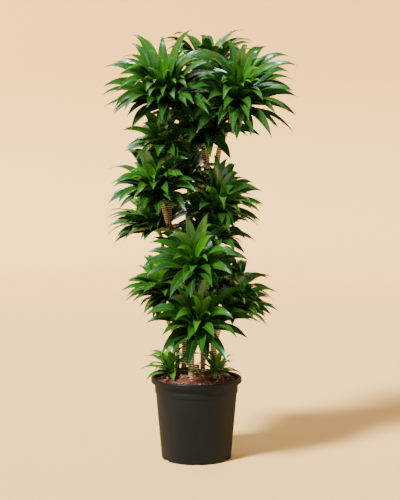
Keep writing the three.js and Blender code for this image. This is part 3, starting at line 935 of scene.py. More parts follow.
@dataclass(frozen=True)
class Soil:
    """Bark and fibre mix that fills the pot. Millimetres."""

    pot: Pot = Pot()
    edge_height: float = 264.0
    crown_height: float = 290.0
    gap: float = 0.3
    heel_gap: float = 1.3
    mound_power: float = 0.8
    lump_height: float = 3.0
    lump_pitch: float = 0.06
    rings: int = 34
    sides: int = 132
    chips: int = 1150
    shortest_chip: float = 4.0
    chip_spread: float = 15.0
    thinnest_chip: float = 1.0
    thickness_spread: float = 2.2
    chip_tilt: float = 0.45
    chip_wear: float = 0.22
    chip_margin: float = 3.0
    fibres: int = 70
    fibre_radius: float = 0.35
    shortest_fibre: float = 14.0
    fibre_spread: float = 26.0
    fibre_curl: float = 1.4
    fibre_steps: int = 9
    fibre_sides: int = 5
    fibre_margin: float = 12.0
    seed: int = 11

    def edge(self) -> float:
        """Radius of the surface, where it meets the pot's inside."""
        return self.pot.wall_radius(self.pot.band_foot) + self.pot.band_step - self.pot.wall - self.gap

    def height(self, x: float, y: float) -> float:
        """Height of the surface at a place.

        Args:
            x: how far the place is to the right of the axis.
            y: how far it is behind the axis.

        Returns:
            The height over the floor, with the lumps.
        """
        share = min(math.hypot(x, y) / self.edge(), 1.0)
        mound = max(math.cos(share * math.pi / 2), 0.0) ** self.mound_power
        lumps = noise.fractal(Vector((x, y, 3.0)) * self.lump_pitch, 0.9, 2.0, 4) * self.lump_height
        return self.edge_height + (self.crown_height - self.edge_height) * mound + lumps

    def surface(self) -> bpy.types.Object:
        """The body of the mix, with a rough top.

        Returns:
            The piece.
        """
        skin = Skin()
        pot = self.pot
        inside = pot.wall + self.gap
        angles = turns(self.sides)
        floor = pot.floor + self.gap
        knee = floor + pot.heel_round - 2.0
        outline = [
            (pot.heel_radius - pot.heel_round - self.heel_gap, floor),
            (pot.wall_radius(knee) - inside, knee),
            (pot.wall_radius(pot.band_foot) - inside, pot.band_foot - pot.step_rise),
            (self.edge(), pot.band_foot + self.gap),
        ]
        rings = [[(r * math.cos(a), r * math.sin(a), z) for a in angles] for r, z in outline]
        for ring in range(self.rings):
            radius = self.edge() * (1 - ring / self.rings)
            places = [(radius * math.cos(a), radius * math.sin(a)) for a in angles]
            rings.append([(x, y, self.height(x, y)) for x, y in places])
        rings.append([(0.0, 0.0, self.height(0.0, 0.0))] * self.sides)
        skin.add_tube(np.array(rings) * MM, {}, tip=True)
        return skin.piece("soil_mix", Finish.SOIL)

    def _place(self, margin: float, dice: np.random.Generator) -> tuple[float, float]:
        """Draws a place on the surface.

        Args:
            margin: how far it stays from the edge.
            dice: where its draws come from.

        Returns:
            The place's x and y.
        """
        radius = (self.edge() - margin) * math.sqrt(dice.random())
        angle = dice.random() * 2 * math.pi
        return radius * math.cos(angle), radius * math.sin(angle)

    def _chip(self, skin: Skin, dice: np.random.Generator) -> None:
        """Adds one bark chip: a rough flat splinter that tapers at both ends.

        Args:
            skin: the mesh that it goes into.
            dice: where its draws come from.
        """
        x, y = self._place(self.chip_margin, dice)
        length = self.shortest_chip + self.chip_spread * dice.random() ** 2
        width = length * (0.3 + 0.4 * dice.random())
        thick = self.thinnest_chip + self.thickness_spread * dice.random()
        tilt = self.chip_tilt * dice.normal()
        heading = dice.random() * 2 * math.pi
        flat = math.cos(tilt)
        ahead = np.array((math.cos(heading) * flat, math.sin(heading) * flat, math.sin(tilt)))
        across = square_to(unit(np.cross(UP, ahead)) + 0.4 * dice.normal(size=3), ahead)
        over = np.cross(ahead, across)
        centre = np.array((x, y, self.height(x, y) + thick * 0.4))
        rings = []
        for place, swell in CHIP_SECTIONS_AT:
            rough = 1 + self.chip_wear * dice.normal(size=(len(CHIP_SECTION), 2))
            ring = [
                centre
                + ahead * length * place
                + across * (width / 2) * swell * u * r[0]
                + over * (thick / 2) * swell * v * r[1]
                for (u, v), r in zip(CHIP_SECTION, rough)
            ]
            rings.append(ring)
        skin.add_tube(np.array(rings) * MM, {"tone": dice.random() ** 1.3})

    def _fibre(self, skin: Skin, dice: np.random.Generator) -> None:
        """Adds one loose strand of fibre that arches over the chips.

        Args:
            skin: the mesh that it goes into.
            dice: where its draws come from.
        """
        x, y = self._place(self.fibre_margin, dice)
        heading = dice.random() * 2 * math.pi
        length = self.shortest_fibre + self.fibre_spread * dice.random()
        curl = self.fibre_curl * dice.normal()
        ring = [(math.cos(a), math.sin(a)) for a in turns(self.fibre_sides)]
        rings = []
        for step in range(self.fibre_steps):
            share = step / (self.fibre_steps - 1)
            turn = heading + curl * share
            x += math.cos(turn) * length / self.fibre_steps
            y += math.sin(turn) * length / self.fibre_steps
            rise = 1.2 + 3.0 * math.sin(share * math.pi)
            centre = np.array((x, y, self.height(x, y) + rise))
            side = np.array((-math.sin(turn), math.cos(turn), 0.0))
            rings.append([centre + self.fibre_radius * (side * c + UP * s) for c, s in ring])
        skin.add_tube(np.array(rings) * MM, {"tone": 0.5 + 0.5 * dice.random()})

    def litter(self) -> bpy.types.Object:
        """The loose chips and fibres on the surface.

        Returns:
            The piece.
        """
        dice = np.random.default_rng(self.seed)
        skin = Skin()
        for _ in range(self.chips):
            self._chip(skin, dice)
        for _ in range(self.fibres):
            self._fibre(skin, dice)
        piece = skin.piece("soil_chips", Finish.CHIPS)
        piece.data.polygons.foreach_set("use_smooth", [False] * len(piece.data.polygons))
        return piece

    def build(self) -> None:
        """Makes the mix and its litter, in the CAD soil's place."""
        dressed(self.surface(), "bark_soil", "soil")
        dressed(self.litter(), "bark_soil")


# ---- Heads of leaves ----------------------------------------------------------------------------

# The rule below places a leaf where the part's source places it, so its numbers are the same.
LEAF_STEPS = 40
LONG_LEAF = 210.0
LONG_STATION = 14
SHORT_STATION = 17
LEAF_CHANNEL = 0.22
LEAF_WIDEST = 0.42
LEAF_ROOT_SHARE = 0.5
LEAF_TAPER = 2.0
TIP_TAPER = 1.2
GOLDEN_ANGLE = math.pi * (3 - math.sqrt(5))
OLDEST_LEAF_AT = 0.1
LEAF_SPAN = 0.86
MIDRIB_OFFSET = 4.0
YOUNGEST_RISE = math.radians(84)
STEEPEST_RISE = 1.5
FULL_LEAN = 0.4
OPENING = 0.6
OPENING_LIFT = 26.0
OPENING_LIMIT = -0.4
HELD_UP = 0.15
YOUNGEST_DROOP = 1.3
OLDEST_DROOP = 1.6
DROOP_POWER = 3
BOW = 0.45
UNFOLDING_AGE = 0.24
UNFOLDING_LENGTH = 0.5
ROLLED_AGE = 0.2
ROLLED_WIDTH = 0.5
AGEING_AGE = 0.7
AGEING_LOSS = 0.24
TURN_SPREAD = 0.22
RISE_SPREAD = math.radians(8)
TILT_SPREAD = 0.35
DROOP_SPREAD = 0.45
LENGTH_SPREAD = 0.12
WIDTH_SPREAD = 0.07
SHOOT_DEPTH = 30.0

# These are the scene's own: how far a tip twists, how far the blades between the solid ones keep from the
# sides of the solid plant's box and by how much one is shortened at a time, and how near a corner of the
# solid counts as the blade's own.
TWIST_SPREAD = 0.3
ROOM_MARGIN = 4.0
SHORTENED = 0.94
SAME_CORNER = 0.02


@dataclass(frozen=True)
class Bend:
    """A small change that keeps a leaf clear of its neighbours."""

    turn: float
    rise: float
    droop: float
    length: float


UNBENT = Bend(0, 0, 1, 1)
BENDS = (
    UNBENT,
    Bend(0.16, 0, 1, 1),
    Bend(-0.16, 0, 1, 1),
    Bend(0, 0.16, 0.9, 1),
    Bend(0, -0.14, 1.1, 1),
    Bend(0.26, 0.14, 1, 0.96),
    Bend(-0.26, 0.14, 1, 0.96),
    Bend(0, 0.3, 0.7, 0.94),
    Bend(0.3, -0.16, 1.2, 0.92),
    Bend(-0.3, -0.16, 1.2, 0.92),
    Bend(0.12, 0.42, 0.6, 0.86),
    Bend(-0.12, 0.42, 0.6, 0.86),
    Bend(0, 0.1, 1.3, 0.72),
    Bend(0, 0.5, 0.6, 0.66),
)


def draw(seed: int, index: float, channel: int) -> float:
    """A seeded draw from -1 to 1, the same as the one that placed the solid leaves."""
    wave = math.sin(seed * 12.9898 + index * 78.233 + channel * 37.719) * 43758.5453
    return 2 * (wave - math.floor(wave)) - 1


def leaf_width(share: np.ndarray) -> np.ndarray:
    """Width of a blade along its length, against its full width.

    Args:
        share: how far along the blade, from 0 to 1.

    Returns:
        The width at each place, from 0 to 1.
    """
    swell = np.sin(np.clip(share / LEAF_WIDEST, 0, 1) * math.pi / 2)
    before = LEAF_ROOT_SHARE + (1 - LEAF_ROOT_SHARE) * swell
    past = np.clip((share - LEAF_WIDEST) / (1 - LEAF_WIDEST), 0, 1)
    return np.where(share < LEAF_WIDEST, before, (1 - past**LEAF_TAPER) ** TIP_TAPER)


def growth(age: float) -> float:
    """Length of a leaf by its age, against the full length.

    Args:
        age: from 0, the newest, to 1, the oldest.

    Returns:
        The length, up to 1.
    """
    if age < UNFOLDING_AGE:
        return UNFOLDING_LENGTH + (1 - UNFOLDING_LENGTH) * age / UNFOLDING_AGE
    return 1 - AGEING_LOSS * max(age - AGEING_AGE, 0.0) / (1 - AGEING_AGE)


def unrolled(age: float) -> float:
    """Width of a leaf by its age, against the full width."""
    return ROLLED_WIDTH + (1 - ROLLED_WIDTH) * min(age / ROLLED_AGE, 1.0)


@dataclass(frozen=True)
class Blade:
    """What all blades share: where their points lie, and how they fold, wave and thin out. Millimetres."""

    stations: tuple[int, ...] = (1, 2, 3, 4, *range(6, 38, 2), 38, 39, 40)
    columns: tuple[float, ...] = (-1.0, -0.92, -0.62, -0.3, -0.07, 0.07, 0.3, 0.62, 0.92, 1.0)
    fold: float = 0.2
    sheath: float = 0.5
    sheath_end: float = 0.07
    roll: float = 0.55
    roll_age: float = 0.14
    channel_power: float = 1.3
    ripple: float = 0.07
    ripple_pitch: float = 15.0
    ripple_power: int = 3
    ripple_reach: float = 1.1
    leaf_shift: float = 40.0
    side_shift: float = 0.9
    edge: float = 0.32
    rib: float = 0.7
    rib_width: float = 0.16
    thinning_half: float = 3.0

    def lift(self, share: np.ndarray, side: np.ndarray, age: float, chance: float) -> np.ndarray:
        """How far a blade rises beside its midrib.

        Args:
            share: how far along the blade, from 0 to 1, one to a row.
            side: how far across it, from -1 to 1, in one row.
            age: the leaf's age, because a new one is still rolled.
            chance: the leaf's own draw, which moves its waves.

        Returns:
            The rise against half the blade's width.
        """
        rolled = self.roll * max(1 - age / self.roll_age, 0.0)
        sheath = self.sheath * np.exp(-share / self.sheath_end)
        channel = LEAF_CHANNEL + self.fold * (1 - share) + sheath + rolled * (1 - share)
        shift = chance * self.leaf_shift
        wave = np.sin(share * self.ripple_pitch + shift + np.sign(side) * self.side_shift)
        ripple = self.ripple * wave * np.abs(side) ** self.ripple_power
        along = np.sin(np.clip(share * self.ripple_reach, 0, 1) * math.pi)
        return channel * np.abs(side) ** self.channel_power + ripple * along

    def thickness(self, share: np.ndarray, side: np.ndarray, half: np.ndarray) -> np.ndarray:
        """How thick a blade is: most at the midrib near its root, and thin where it is narrow.

        Args:
            share: how far along the blade, from 0 to 1, one to a row.
            side: how far across it, from -1 to 1, in one row.
            half: half the blade's width at each row.

        Returns:
            The thickness at each place.
        """
        rib = self.rib * np.exp(-((side / self.rib_width) ** 2)) * (1 - share)
        return (self.edge + rib) * np.minimum(half / self.thinning_half, 1)


BLADE = Blade()


@dataclass(frozen=True)
class Leaf:
    """One leaf: where it grows, which way, how long and wide. Millimetres."""

    start: np.ndarray
    ahead: np.ndarray
    across: np.ndarray
    bow: np.ndarray
    length: float
    width: float
    age: float
    chance: float
    twist: float

    def midrib(self) -> tuple[np.ndarray, np.ndarray]:
        """Follows the midrib, which starts straight, then bows out and down.

        Returns:
            Its points and the direction at each of them.
        """
        shares = (np.arange(LEAF_STEPS) + 0.5) / LEAF_STEPS
        directions = unit(self.ahead + self.bow * (shares**DROOP_POWER)[:, None])
        points = self.start + np.cumsum(directions, axis=0) * self.length / LEAF_STEPS
        return np.vstack((self.start, points)), np.vstack((self.ahead, directions))

    def landmarks(self) -> list[np.ndarray]:
        """Finds corners that the solid leaf has too: its tip, and its edges at the first section.

        Returns:
            The three corners: the tip first.
        """
        points, directions = self.midrib()
        station = LONG_STATION if self.length > LONG_LEAF else SHORT_STATION
        across = square_to(self.across, directions[station])
        over = np.cross(directions[station], across)
        half = self.width * float(leaf_width(np.array(station / LEAF_STEPS))) / 2
        lifted = points[station] + over * half * LEAF_CHANNEL
        return [points[-1], lifted + across * half, lifted - across * half]

    def fitted(self, room: np.ndarray) -> "Leaf":
        """Shortens the leaf until its midrib stays in a box.

        Args:
            room: the lowest and highest corners of the box.

        Returns:
            The leaf, or a shorter one.
        """
        points, _ = self.midrib()
        if (points > room[0] + ROOM_MARGIN).all() and (points < room[1] - ROOM_MARGIN).all():
            return self
        return replace(self, length=self.length * SHORTENED).fitted(room)

    def add_to(self, skin: Skin) -> None:
        """Adds the blade: a thin channelled shell with a wavy edge and a fine tip.

        Args:
            skin: the mesh that it goes into.
        """
        steps = np.array(BLADE.stations)
        columns = np.array(BLADE.columns)
        points, directions = self.midrib()
        points, directions = points[steps], directions[steps]
        share = (steps / LEAF_STEPS)[:, None]
        level = square_to(np.broadcast_to(self.across, directions.shape), directions)
        upright = np.cross(directions, level)
        angle = self.twist * share**2
        across = level * np.cos(angle) + upright * np.sin(angle)
        over = upright * np.cos(angle) - level * np.sin(angle)
        half = self.width * leaf_width(share) / 2
        side = columns[None, :]
        out = (half * side)[..., None]
        up = (half * BLADE.lift(share, side, self.age, self.chance))[..., None]
        upper = points[:, None] + across[:, None] * out + over[:, None] * up
        lower = upper - over[:, None] * BLADE.thickness(share, side, half)[..., None]
        loop = np.concatenate((upper[:, ::-1], lower[:, 1:-1]), axis=1)
        loop_sides = np.concatenate((columns[::-1], columns[1:-1]))
        values = {
            "across": np.broadcast_to(loop_sides, loop.shape[:2]),
            "along": np.broadcast_to(share, loop.shape[:2]),
            "age": self.age,
            "chance": self.chance,
        }
        skin.add_tube(loop * MM, values, tip=True, upper=len(columns) - 1)


@dataclass(frozen=True)
class Stem:
    """What the green stems share: their radii at the foot, in the leaves and at the tip. Millimetres."""

    radius: float = 7.5
    sunk_radius: float = 6.0
    swell: float = 1.5
    swell_at: float = 0.4
    tip_radius: float = 5.0
    clearance: float = 0.3
    ring_depth: float = 0.07
    stations: int = 40
    sides: int = 14

    def rings(self, head: "Head") -> np.ndarray:
        """Shapes the stem of a head, ringed by the bases of its leaves above its foot.

        Args:
            head: the head that it carries.

        Returns:
            The rings, from its foot to its tip.
        """
        side = square_to(np.array((1.0, 0.0, 0.0)), head.axis)
        other = np.cross(head.axis, side)
        foot = self.clearance - head.sunk
        thick = self.sunk_radius if head.sunk else self.radius
        angles = turns(self.sides)
        around = np.cos(angles)[:, None] * side + np.sin(angles)[:, None] * other
        rings = []
        for step in range(self.stations + 1):
            height = foot + (head.stack - foot) * step / self.stations
            radii = (thick, thick * self.swell, self.tip_radius)
            grown = np.interp(height / head.stack, (0.0, self.swell_at, 1.0), radii)
            grown *= 1 + self.ring_depth * math.cos(step * math.pi) * (height > 0)
            rings.append(np.array(head.base, float) + head.axis * height + grown * around)
        return np.array(rings)


@dataclass(frozen=True)
class Head:
    """A green stem with its leaves, placed by the rule that placed the solid ones. Millimetres."""

    seed: int
    name: str
    base: tuple[float, float, float]
    lean: tuple[float, float, float]
    stack: float
    leaves: int
    length: float
    width: float
    lowest: float
    turn: float
    sunk: float = 0.0
    fill: float = 1.0

    @property
    def axis(self) -> np.ndarray:
        """The way the stem points."""
        return unit(np.array(self.lean, float))

    def facing(self, away: np.ndarray) -> float:
        """Tells how far a leaf points the way that the head leans.

        Args:
            away: the way that the leaf leaves the stem.

        Returns:
            A value from -1 to 1, and a smaller one in a head that hardly leans.
        """
        tilt = np.array((*self.lean[:2], 0.0))
        amount = float(np.linalg.norm(tilt))
        return float(away @ tilt) / amount * min(amount / FULL_LEAN, 1.0)

    def rise(self, age: float, facing: float) -> float:
        """Angle of a leaf over the plane square to the stem, in radians."""
        low = math.radians(self.lowest + OPENING_LIFT * facing)
        return YOUNGEST_RISE + (low - YOUNGEST_RISE) * age ** (1 - OPENING * max(facing, OPENING_LIMIT))

    def leaf(self, index: float, bend: Bend) -> Leaf:
        """One leaf of the head.

        Args:
            index: its number, counted from the oldest up; one between two others fills the head out.
            bend: how it was moved clear of its neighbours.

        Returns:
            The leaf.
        """
        vary = [0.0, *(draw(self.seed, index, channel) for channel in range(1, 9))]
        axis = self.axis
        age = 1 - (index + 0.5) / self.leaves
        azimuth = math.radians(self.turn) + index * GOLDEN_ANGLE + TURN_SPREAD * vary[1] + bend.turn
        side = square_to(np.array((1.0, 0.0, 0.0)), axis)
        away = side * math.cos(azimuth) + np.cross(axis, side) * math.sin(azimuth)
        facing = self.facing(away)
        rise = min(self.rise(age, facing) + RISE_SPREAD * vary[2] + bend.rise, STEEPEST_RISE)
        heavy = YOUNGEST_DROOP + (OLDEST_DROOP - YOUNGEST_DROOP) * age + DROOP_SPREAD * vary[4]
        droop = heavy * (1 - HELD_UP * max(facing, 0.0))
        up_stem = self.stack * (OLDEST_LEAF_AT + LEAF_SPAN * (1 - age))
        return Leaf(
            start=np.array(self.base, float) + axis * up_stem + away * MIDRIB_OFFSET,
            ahead=away * math.cos(rise) + axis * math.sin(rise),
            across=unit(np.cross(axis, away) + axis * TILT_SPREAD * vary[3]),
            bow=(away * BOW - UP) * droop * bend.droop,
            length=self.length * growth(age) * (1 + LENGTH_SPREAD * vary[5]) * bend.length,
            width=self.width * unrolled(age) * (1 + WIDTH_SPREAD * vary[6]),
            age=age,
            chance=0.5 + 0.5 * vary[7],
            twist=TWIST_SPREAD * vary[8],
        )

    def grown(self) -> list[Leaf]:
        """Finds the leaves that the solid head has, each bent as its solid leaf is.

        Returns:
            The leaves, the oldest first.
        """
        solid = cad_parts[self.name].data
        tree = kdtree.KDTree(len(solid.vertices))
        for number, vertex in enumerate(solid.vertices):
            tree.insert(vertex.co, number)
        tree.balance()
        leaves = []
        for index in range(self.leaves):
            for bend in BENDS:
                leaf = self.leaf(index, bend)
                misses = [tree.find(Vector(mark * MM))[2] for mark in leaf.landmarks()]
                if min(misses) < SAME_CORNER * MM:
                    leaves.append(leaf)
                    break
        return leaves

    def between(self, room: np.ndarray) -> list[Leaf]:
        """The leaves that fill the head out between those of the solid one, kept inside its box."""
        places = np.arange(0.5, self.leaves - 0.5, 1 / self.fill)
        return [self.leaf(float(place), UNBENT).fitted(room) for place in places]

    def build(self, leafy: Finish, slot: str, room: np.ndarray) -> bpy.types.Object:
        """Makes the head, in its CAD node's place.

        Args:
            leafy: the finish of its leaves.
            slot: the record's slot of that finish.
            room: the lowest and highest corners of the solid plant, in millimetres.

        Returns:
            The piece.
        """
        skin = Skin()
        leaves = self.grown() + self.between(room)
        for leaf in leaves:
            leaf.add_to(skin)
        unread = dict.fromkeys(("across", "along", "age", "chance"), 0.0)
        skin.add_tube(Stem().rings(self) * MM, unread, material=1)
        log.info("%s: %d leaves", self.name, len(leaves))
        return dressed(skin.piece(f"{self.name}_leaves", leafy, Finish.STEM), slot, self.name)


HEADS = (
    Head(1, "head_top_left", (-98, -96, 1194), (-0.14, -0.66, 1), 38, 42, 242, 39, 10, 327),
    Head(2, "head_top_right", (124, -96, 1188), (0.18, -0.76, 1), 38, 40, 240, 39, 2, 72),
    Head(3, "head_low_front", (4, -98, 459), (0.11, -0.92, 1), 32, 28, 202, 39, 4, 208, fill=0.4),
    Head(4, "head_front", (-6, -132, 654), (0.06, -0.9, 1), 32, 28, 186, 38, 12, 122, fill=0.2),
    Head(5, "head_mid_left", (-120, -84, 898), (-0.3, -0.64, 1), 36, 30, 182, 39, 8, 251),
    Head(6, "head_mid_right", (56, -66, 838), (0.4, -0.5, 1), 36, 30, 176, 39, 8, 310),
    Head(7, "head_low_left", (-92, -52, 554), (-0.34, -0.55, 1), 34, 26, 162, 38, 10, 233),
    Head(8, "head_far_right", (98, -36, 502), (0.5, -0.28, 1), 34, 26, 172, 38, 10, 209),
    Head(9, "head_upper_mid", (28, -36, 1094), (0.08, -0.76, 1), 36, 26, 194, 41, 8, 176),
    Head(10, "head_low_right", (114, 40, 542), (0.36, 0.02, 1), 36, 24, 156, 38, -2, 206),
    Head(11, "head_left", (-126, 42, 770), (-0.38, -0.2, 1), 38, 26, 190, 39, 0, 43),
    Head(12, "head_mid_centre", (-28, 14, 940), (-0.17, -0.46, 1), 36, 22, 170, 39, 8, 314),
    Head(13, "head_upper_left", (-98, -92, 1056), (-0.34, -0.54, 1), 36, 20, 134, 38, -8, 42),
    Head(14, "head_top_back", (36, 104, 1266), (0.02, -0.16, 1), 44, 28, 226, 40, 4, 40),
    Head(15, "head_mid_back", (66, 104, 850), (0.04, 0.42, 1), 36, 17, 150, 38, 0, 21),
    Head(16, "head_right", (48, -44, 748), (0.3, -0.48, 1), 36, 24, 146, 38, 4, 194),
    Head(17, "head_low_centre", (36, -22, 562), (0.1, -0.4, 1), 34, 24, 156, 38, 2, 140),
    Head(18, "head_low_back", (-2, 106, 474), (-0.06, 0.2, 1), 34, 18, 156, 38, 0, 200),
    Head(19, "shoot_left", (-80, 2, 288), (-0.2, -0.16, 1), 36, 12, 114, 27, 6, 130, sunk=SHOOT_DEPTH),
    Head(20, "shoot_right", (62, -44, 290), (0.24, -0.1, 1), 32, 11, 90, 22, 6, 15, sunk=SHOOT_DEPTH),
)


# ---- Canes --------------------------------------------------------------------------------------

@dataclass(frozen=True)
class Band:
    """A band that comes back with each ring scar: where it lies in the ring and how wide it is, in rings."""

    place: float
    width: float

    def at(self, ring: np.ndarray) -> np.ndarray:
        """How strongly it shows, from 0 to 1, at places counted in rings."""
        return np.exp(-(((ring % 1.0 - self.place) / self.width) ** 2))


@dataclass(frozen=True)
class Wave:
    """A slow change along a cane: how large, how long in millimetres, and how far a cane's tone moves it."""

    size: float
    length: float
    shift: float

    def at(self, run: np.ndarray, tone: float, turn: np.ndarray | float = 0.0) -> np.ndarray:
        """Its value at lengths along a cane, and at an angle where it winds about the cane."""
        return self.size * np.sin(turn + run / self.length + tone * self.shift)


RIDGE = Band(0.25, 0.16)
GROOVE = Band(0.02, 0.07)
RING_DRIFT = (Wave(0.35, 31.0, 9.0), Wave(0.12, 7.3, 30.0))  # how the gaps between rings vary, in rings
KNOTS = Wave(0.35, 19.0, 17.0)
LUMPS = Wave(0.25, 23.0, 40.0)
LUMPS_ROUND = 3  # how many lumps there are in a turn about a cane
SIDEWAYS = np.array((1.0, 0.13, 0.0))  # where the first point of each ring lies; no cane runs that way
CURVE_STEPS = 60  # points between two ends of a curve, before they are set evenly


def run_along(points: np.ndarray) -> np.ndarray:
    """Length of the line through the points, up to each of them."""
    return np.concatenate(([0.0], np.cumsum(np.linalg.norm(np.diff(points, axis=0), axis=1))))


@dataclass(frozen=True)
class Branch:
    """A branch: its head, where on the cane it starts, its radius and what it passes."""

    head: str
    start: float
    radius: float
    route: tuple[tuple[float, float, float], ...] = ()


@dataclass(frozen=True)
class Cane:
    """A wooden cane with the branches that grow from it. Millimetres."""

    name: str
    head: str
    radius: float
    route: tuple[tuple[float, float, float], ...]
    branches: tuple[Branch, ...] = ()
    taper: float = 1.8
    seat: float = 24.0
    rooted: float = 90.0
    rooted_steps: tuple[float, ...] = (0.0, 30.0, 60.0, 76.0)
    sides: int = 18
    pitch: float = 1.6
    ring_gap: float = 7.2
    ring_slant: float = 0.1
    slant_shift: float = 20.0
    ridge_height: float = 0.55
    groove_depth: float = 0.45
    branch_flare: float = 1.2
    flare_length: float = 14.0
    tone_step: float = 0.37

    def path(self, route: tuple, head: str) -> np.ndarray:
        """Draws the smooth curve through a route and up to the foot of a head.

        Args:
            route: the points that the curve runs through first.
            head: the name of the head that it ends in.

        Returns:
            Close points along it.
        """
        top = next(each for each in HEADS if each.name == head)
        base = np.array(top.base, float)
        ends = np.vstack((np.array(route, float).reshape(-1, 3), base - top.axis * self.seat, base))
        return smooth_path(ends, self.pitch)

    def add_wood(self, skin: Skin, points: np.ndarray, radii: np.ndarray, tone: float, flare: float) -> None:
        """Adds one length of ringed wood.

        Args:
            skin: the mesh that it goes into.
            points: its middle line.
            radii: its radius at each of them.
            tone: how pale its bark is.
            flare: how far it swells where it starts.
        """
        ways = unit(np.gradient(points, axis=0))
        run = run_along(points)
        turned = run / self.ring_gap + sum(wave.at(run, tone) for wave in RING_DRIFT)
        relief = self.ridge_height * RIDGE.at(turned) - self.groove_depth * GROOVE.at(turned)
        swell = flare * np.exp(-run / self.flare_length)
        angles = turns(self.sides)
        side = square_to(np.broadcast_to(SIDEWAYS, ways.shape), ways)
        other = np.cross(ways, side)
        lumps = LUMPS.at(run[:, None], tone, LUMPS_ROUND * angles[None, :])
        reach = (radii + relief + KNOTS.at(run, tone) + swell)[:, None] + lumps
        ring = np.cos(angles)[None, :, None] * side[:, None] + np.sin(angles)[None, :, None] * other[:, None]
        rings = points[:, None] + reach[..., None] * ring
        slant = self.ring_slant * np.sin(angles + tone * self.slant_shift)[None, :]
        skin.add_tube(rings * MM, {"ring": turned[:, None] + slant, "tone": tone, "cut": 0.0})

    def build(self) -> bpy.types.Object:
        """Makes the cane and its branches, in the CAD cane's place.

        Returns:
            The piece.
        """
        skin = Skin()
        trunk = self.path(self.route, self.head)
        x, y, soil = self.route[0]
        deep = np.array([(x, y, soil - self.rooted + step) for step in self.rooted_steps], float)
        tone = 0.5 + 0.5 * draw(len(self.name), int(self.radius * 10), 3)
        tapered = self.radius - self.taper * np.linspace(0, 1, len(trunk))
        radii = np.concatenate((np.full(len(deep), self.radius), tapered))
        self.add_wood(skin, np.vstack((deep, trunk)), radii, tone, 0.0)
        for number, branch in enumerate(self.branches):
            start = trunk[int(round(branch.start * (len(trunk) - 1)))]
            path = self.path((tuple(start), *branch.route), branch.head)
            radii = np.full(len(path), branch.radius)
            shade = (tone + self.tone_step * (number + 1)) % 1.0
            self.add_wood(skin, path, radii, shade, self.branch_flare)
        return dressed(skin.piece(f"{self.name}_wood", Finish.CANE), "cane_bark", self.name)


def smooth_path(ends: np.ndarray, pitch: float) -> np.ndarray:
    """Even points on a centripetal curve through these ends.

    Args:
        ends: the points that the curve runs through.
        pitch: how far apart the results are.

    Returns:
        The points, both ends included.
    """
    before = 2 * ends[0] - ends[1]
    after = 2 * ends[-1] - ends[-2]
    knots = np.vstack((before, ends, after))
    fine = []
    for p0, p1, p2, p3 in zip(knots, knots[1:], knots[2:], knots[3:]):
        gaps = [math.sqrt(np.linalg.norm(b - a)) for a, b in ((p0, p1), (p1, p2), (p2, p3))]
        first = ((p1 - p0) / gaps[0] - (p2 - p0) / (gaps[0] + gaps[1]) + (p2 - p1) / gaps[1]) * gaps[1]
        last = ((p2 - p1) / gaps[1] - (p3 - p1) / (gaps[1] + gaps[2]) + (p3 - p2) / gaps[2]) * gaps[1]
        t = np.linspace(0, 1, CURVE_STEPS, endpoint=False)[:, None]
        bent = 2 * p1 - 2 * p2 + first + last
        fine.append(p1 + first * t + (3 * (p2 - p1) - 2 * first - last) * t**2 + bent * t**3)
    points = np.vstack((*fine, ends[-1]))
    run = run_along(points)
    even = np.linspace(0, run[-1], max(int(run[-1] / pitch), 2) + 1)
    return np.stack([np.interp(even, run, points[:, axis]) for axis in range(3)], axis=-1)


@dataclass(frozen=True)
class Stub:
    """The short cane that was sawn off. Millimetres."""

    foot: tuple[float, float, float] = (2.0, 22.0, 290.0)
    radius: float = 8.5
    height: float = 28.0
    rooted: float = 45.0
    sides: int = 28
    wood_rings: int = 46
    ring_gap: float = 7.0
    ridge_height: float = 0.5
    tone: float = 0.4
    edge: float = 1.2
    saw_drops: tuple[float, ...] = (0.4, 0.0, 0.0, 0.0, 0.0)
    saw_insets: tuple[float, ...] = (0.5, 1.3, 1.6, 4.5, 8.5)
    saw_slope: float = 0.0375
    bark_thickness: float = 1.4

    def build(self) -> bpy.types.Object:
        """Makes the stub, with its pale sloping sawn top, in the CAD stub's place.

        Returns:
            The piece.
        """
        skin = Skin()
        angles = turns(self.sides)
        rim = np.stack((np.cos(angles), np.sin(angles), np.zeros(self.sides)), axis=-1)
        low = self.foot[2] - self.rooted
        top = self.foot[2] + self.height
        wood = np.linspace(low, top - self.edge, self.wood_rings)
        heights = np.concatenate((wood, top - np.array(self.saw_drops)))
        insets = np.concatenate((np.zeros(self.wood_rings), self.saw_insets))
        bark = self.ridge_height * RIDGE.at(heights / self.ring_gap) * (insets == 0)
        slopes = self.saw_slope * insets * (insets > 1)
        centre = np.array((*self.foot[:2], 0.0))
        rings = [
            centre + UP * height + rim * (self.radius + ridge - inset) - UP * slope * (1 - rim[:, :1])
            for height, ridge, inset, slope in zip(heights, bark, insets, slopes)
        ]
        shape = (len(heights), self.sides)
        values = {
            "ring": np.broadcast_to((heights / self.ring_gap)[:, None], shape),
            "tone": self.tone,
            "cut": np.broadcast_to((insets > self.bark_thickness)[:, None].astype(float), shape),
        }
        skin.add_tube(np.array(rings) * MM, values, tip=True)
        return dressed(skin.piece("cane_stub_wood", Finish.CANE), "cane_bark", "cane_stub")


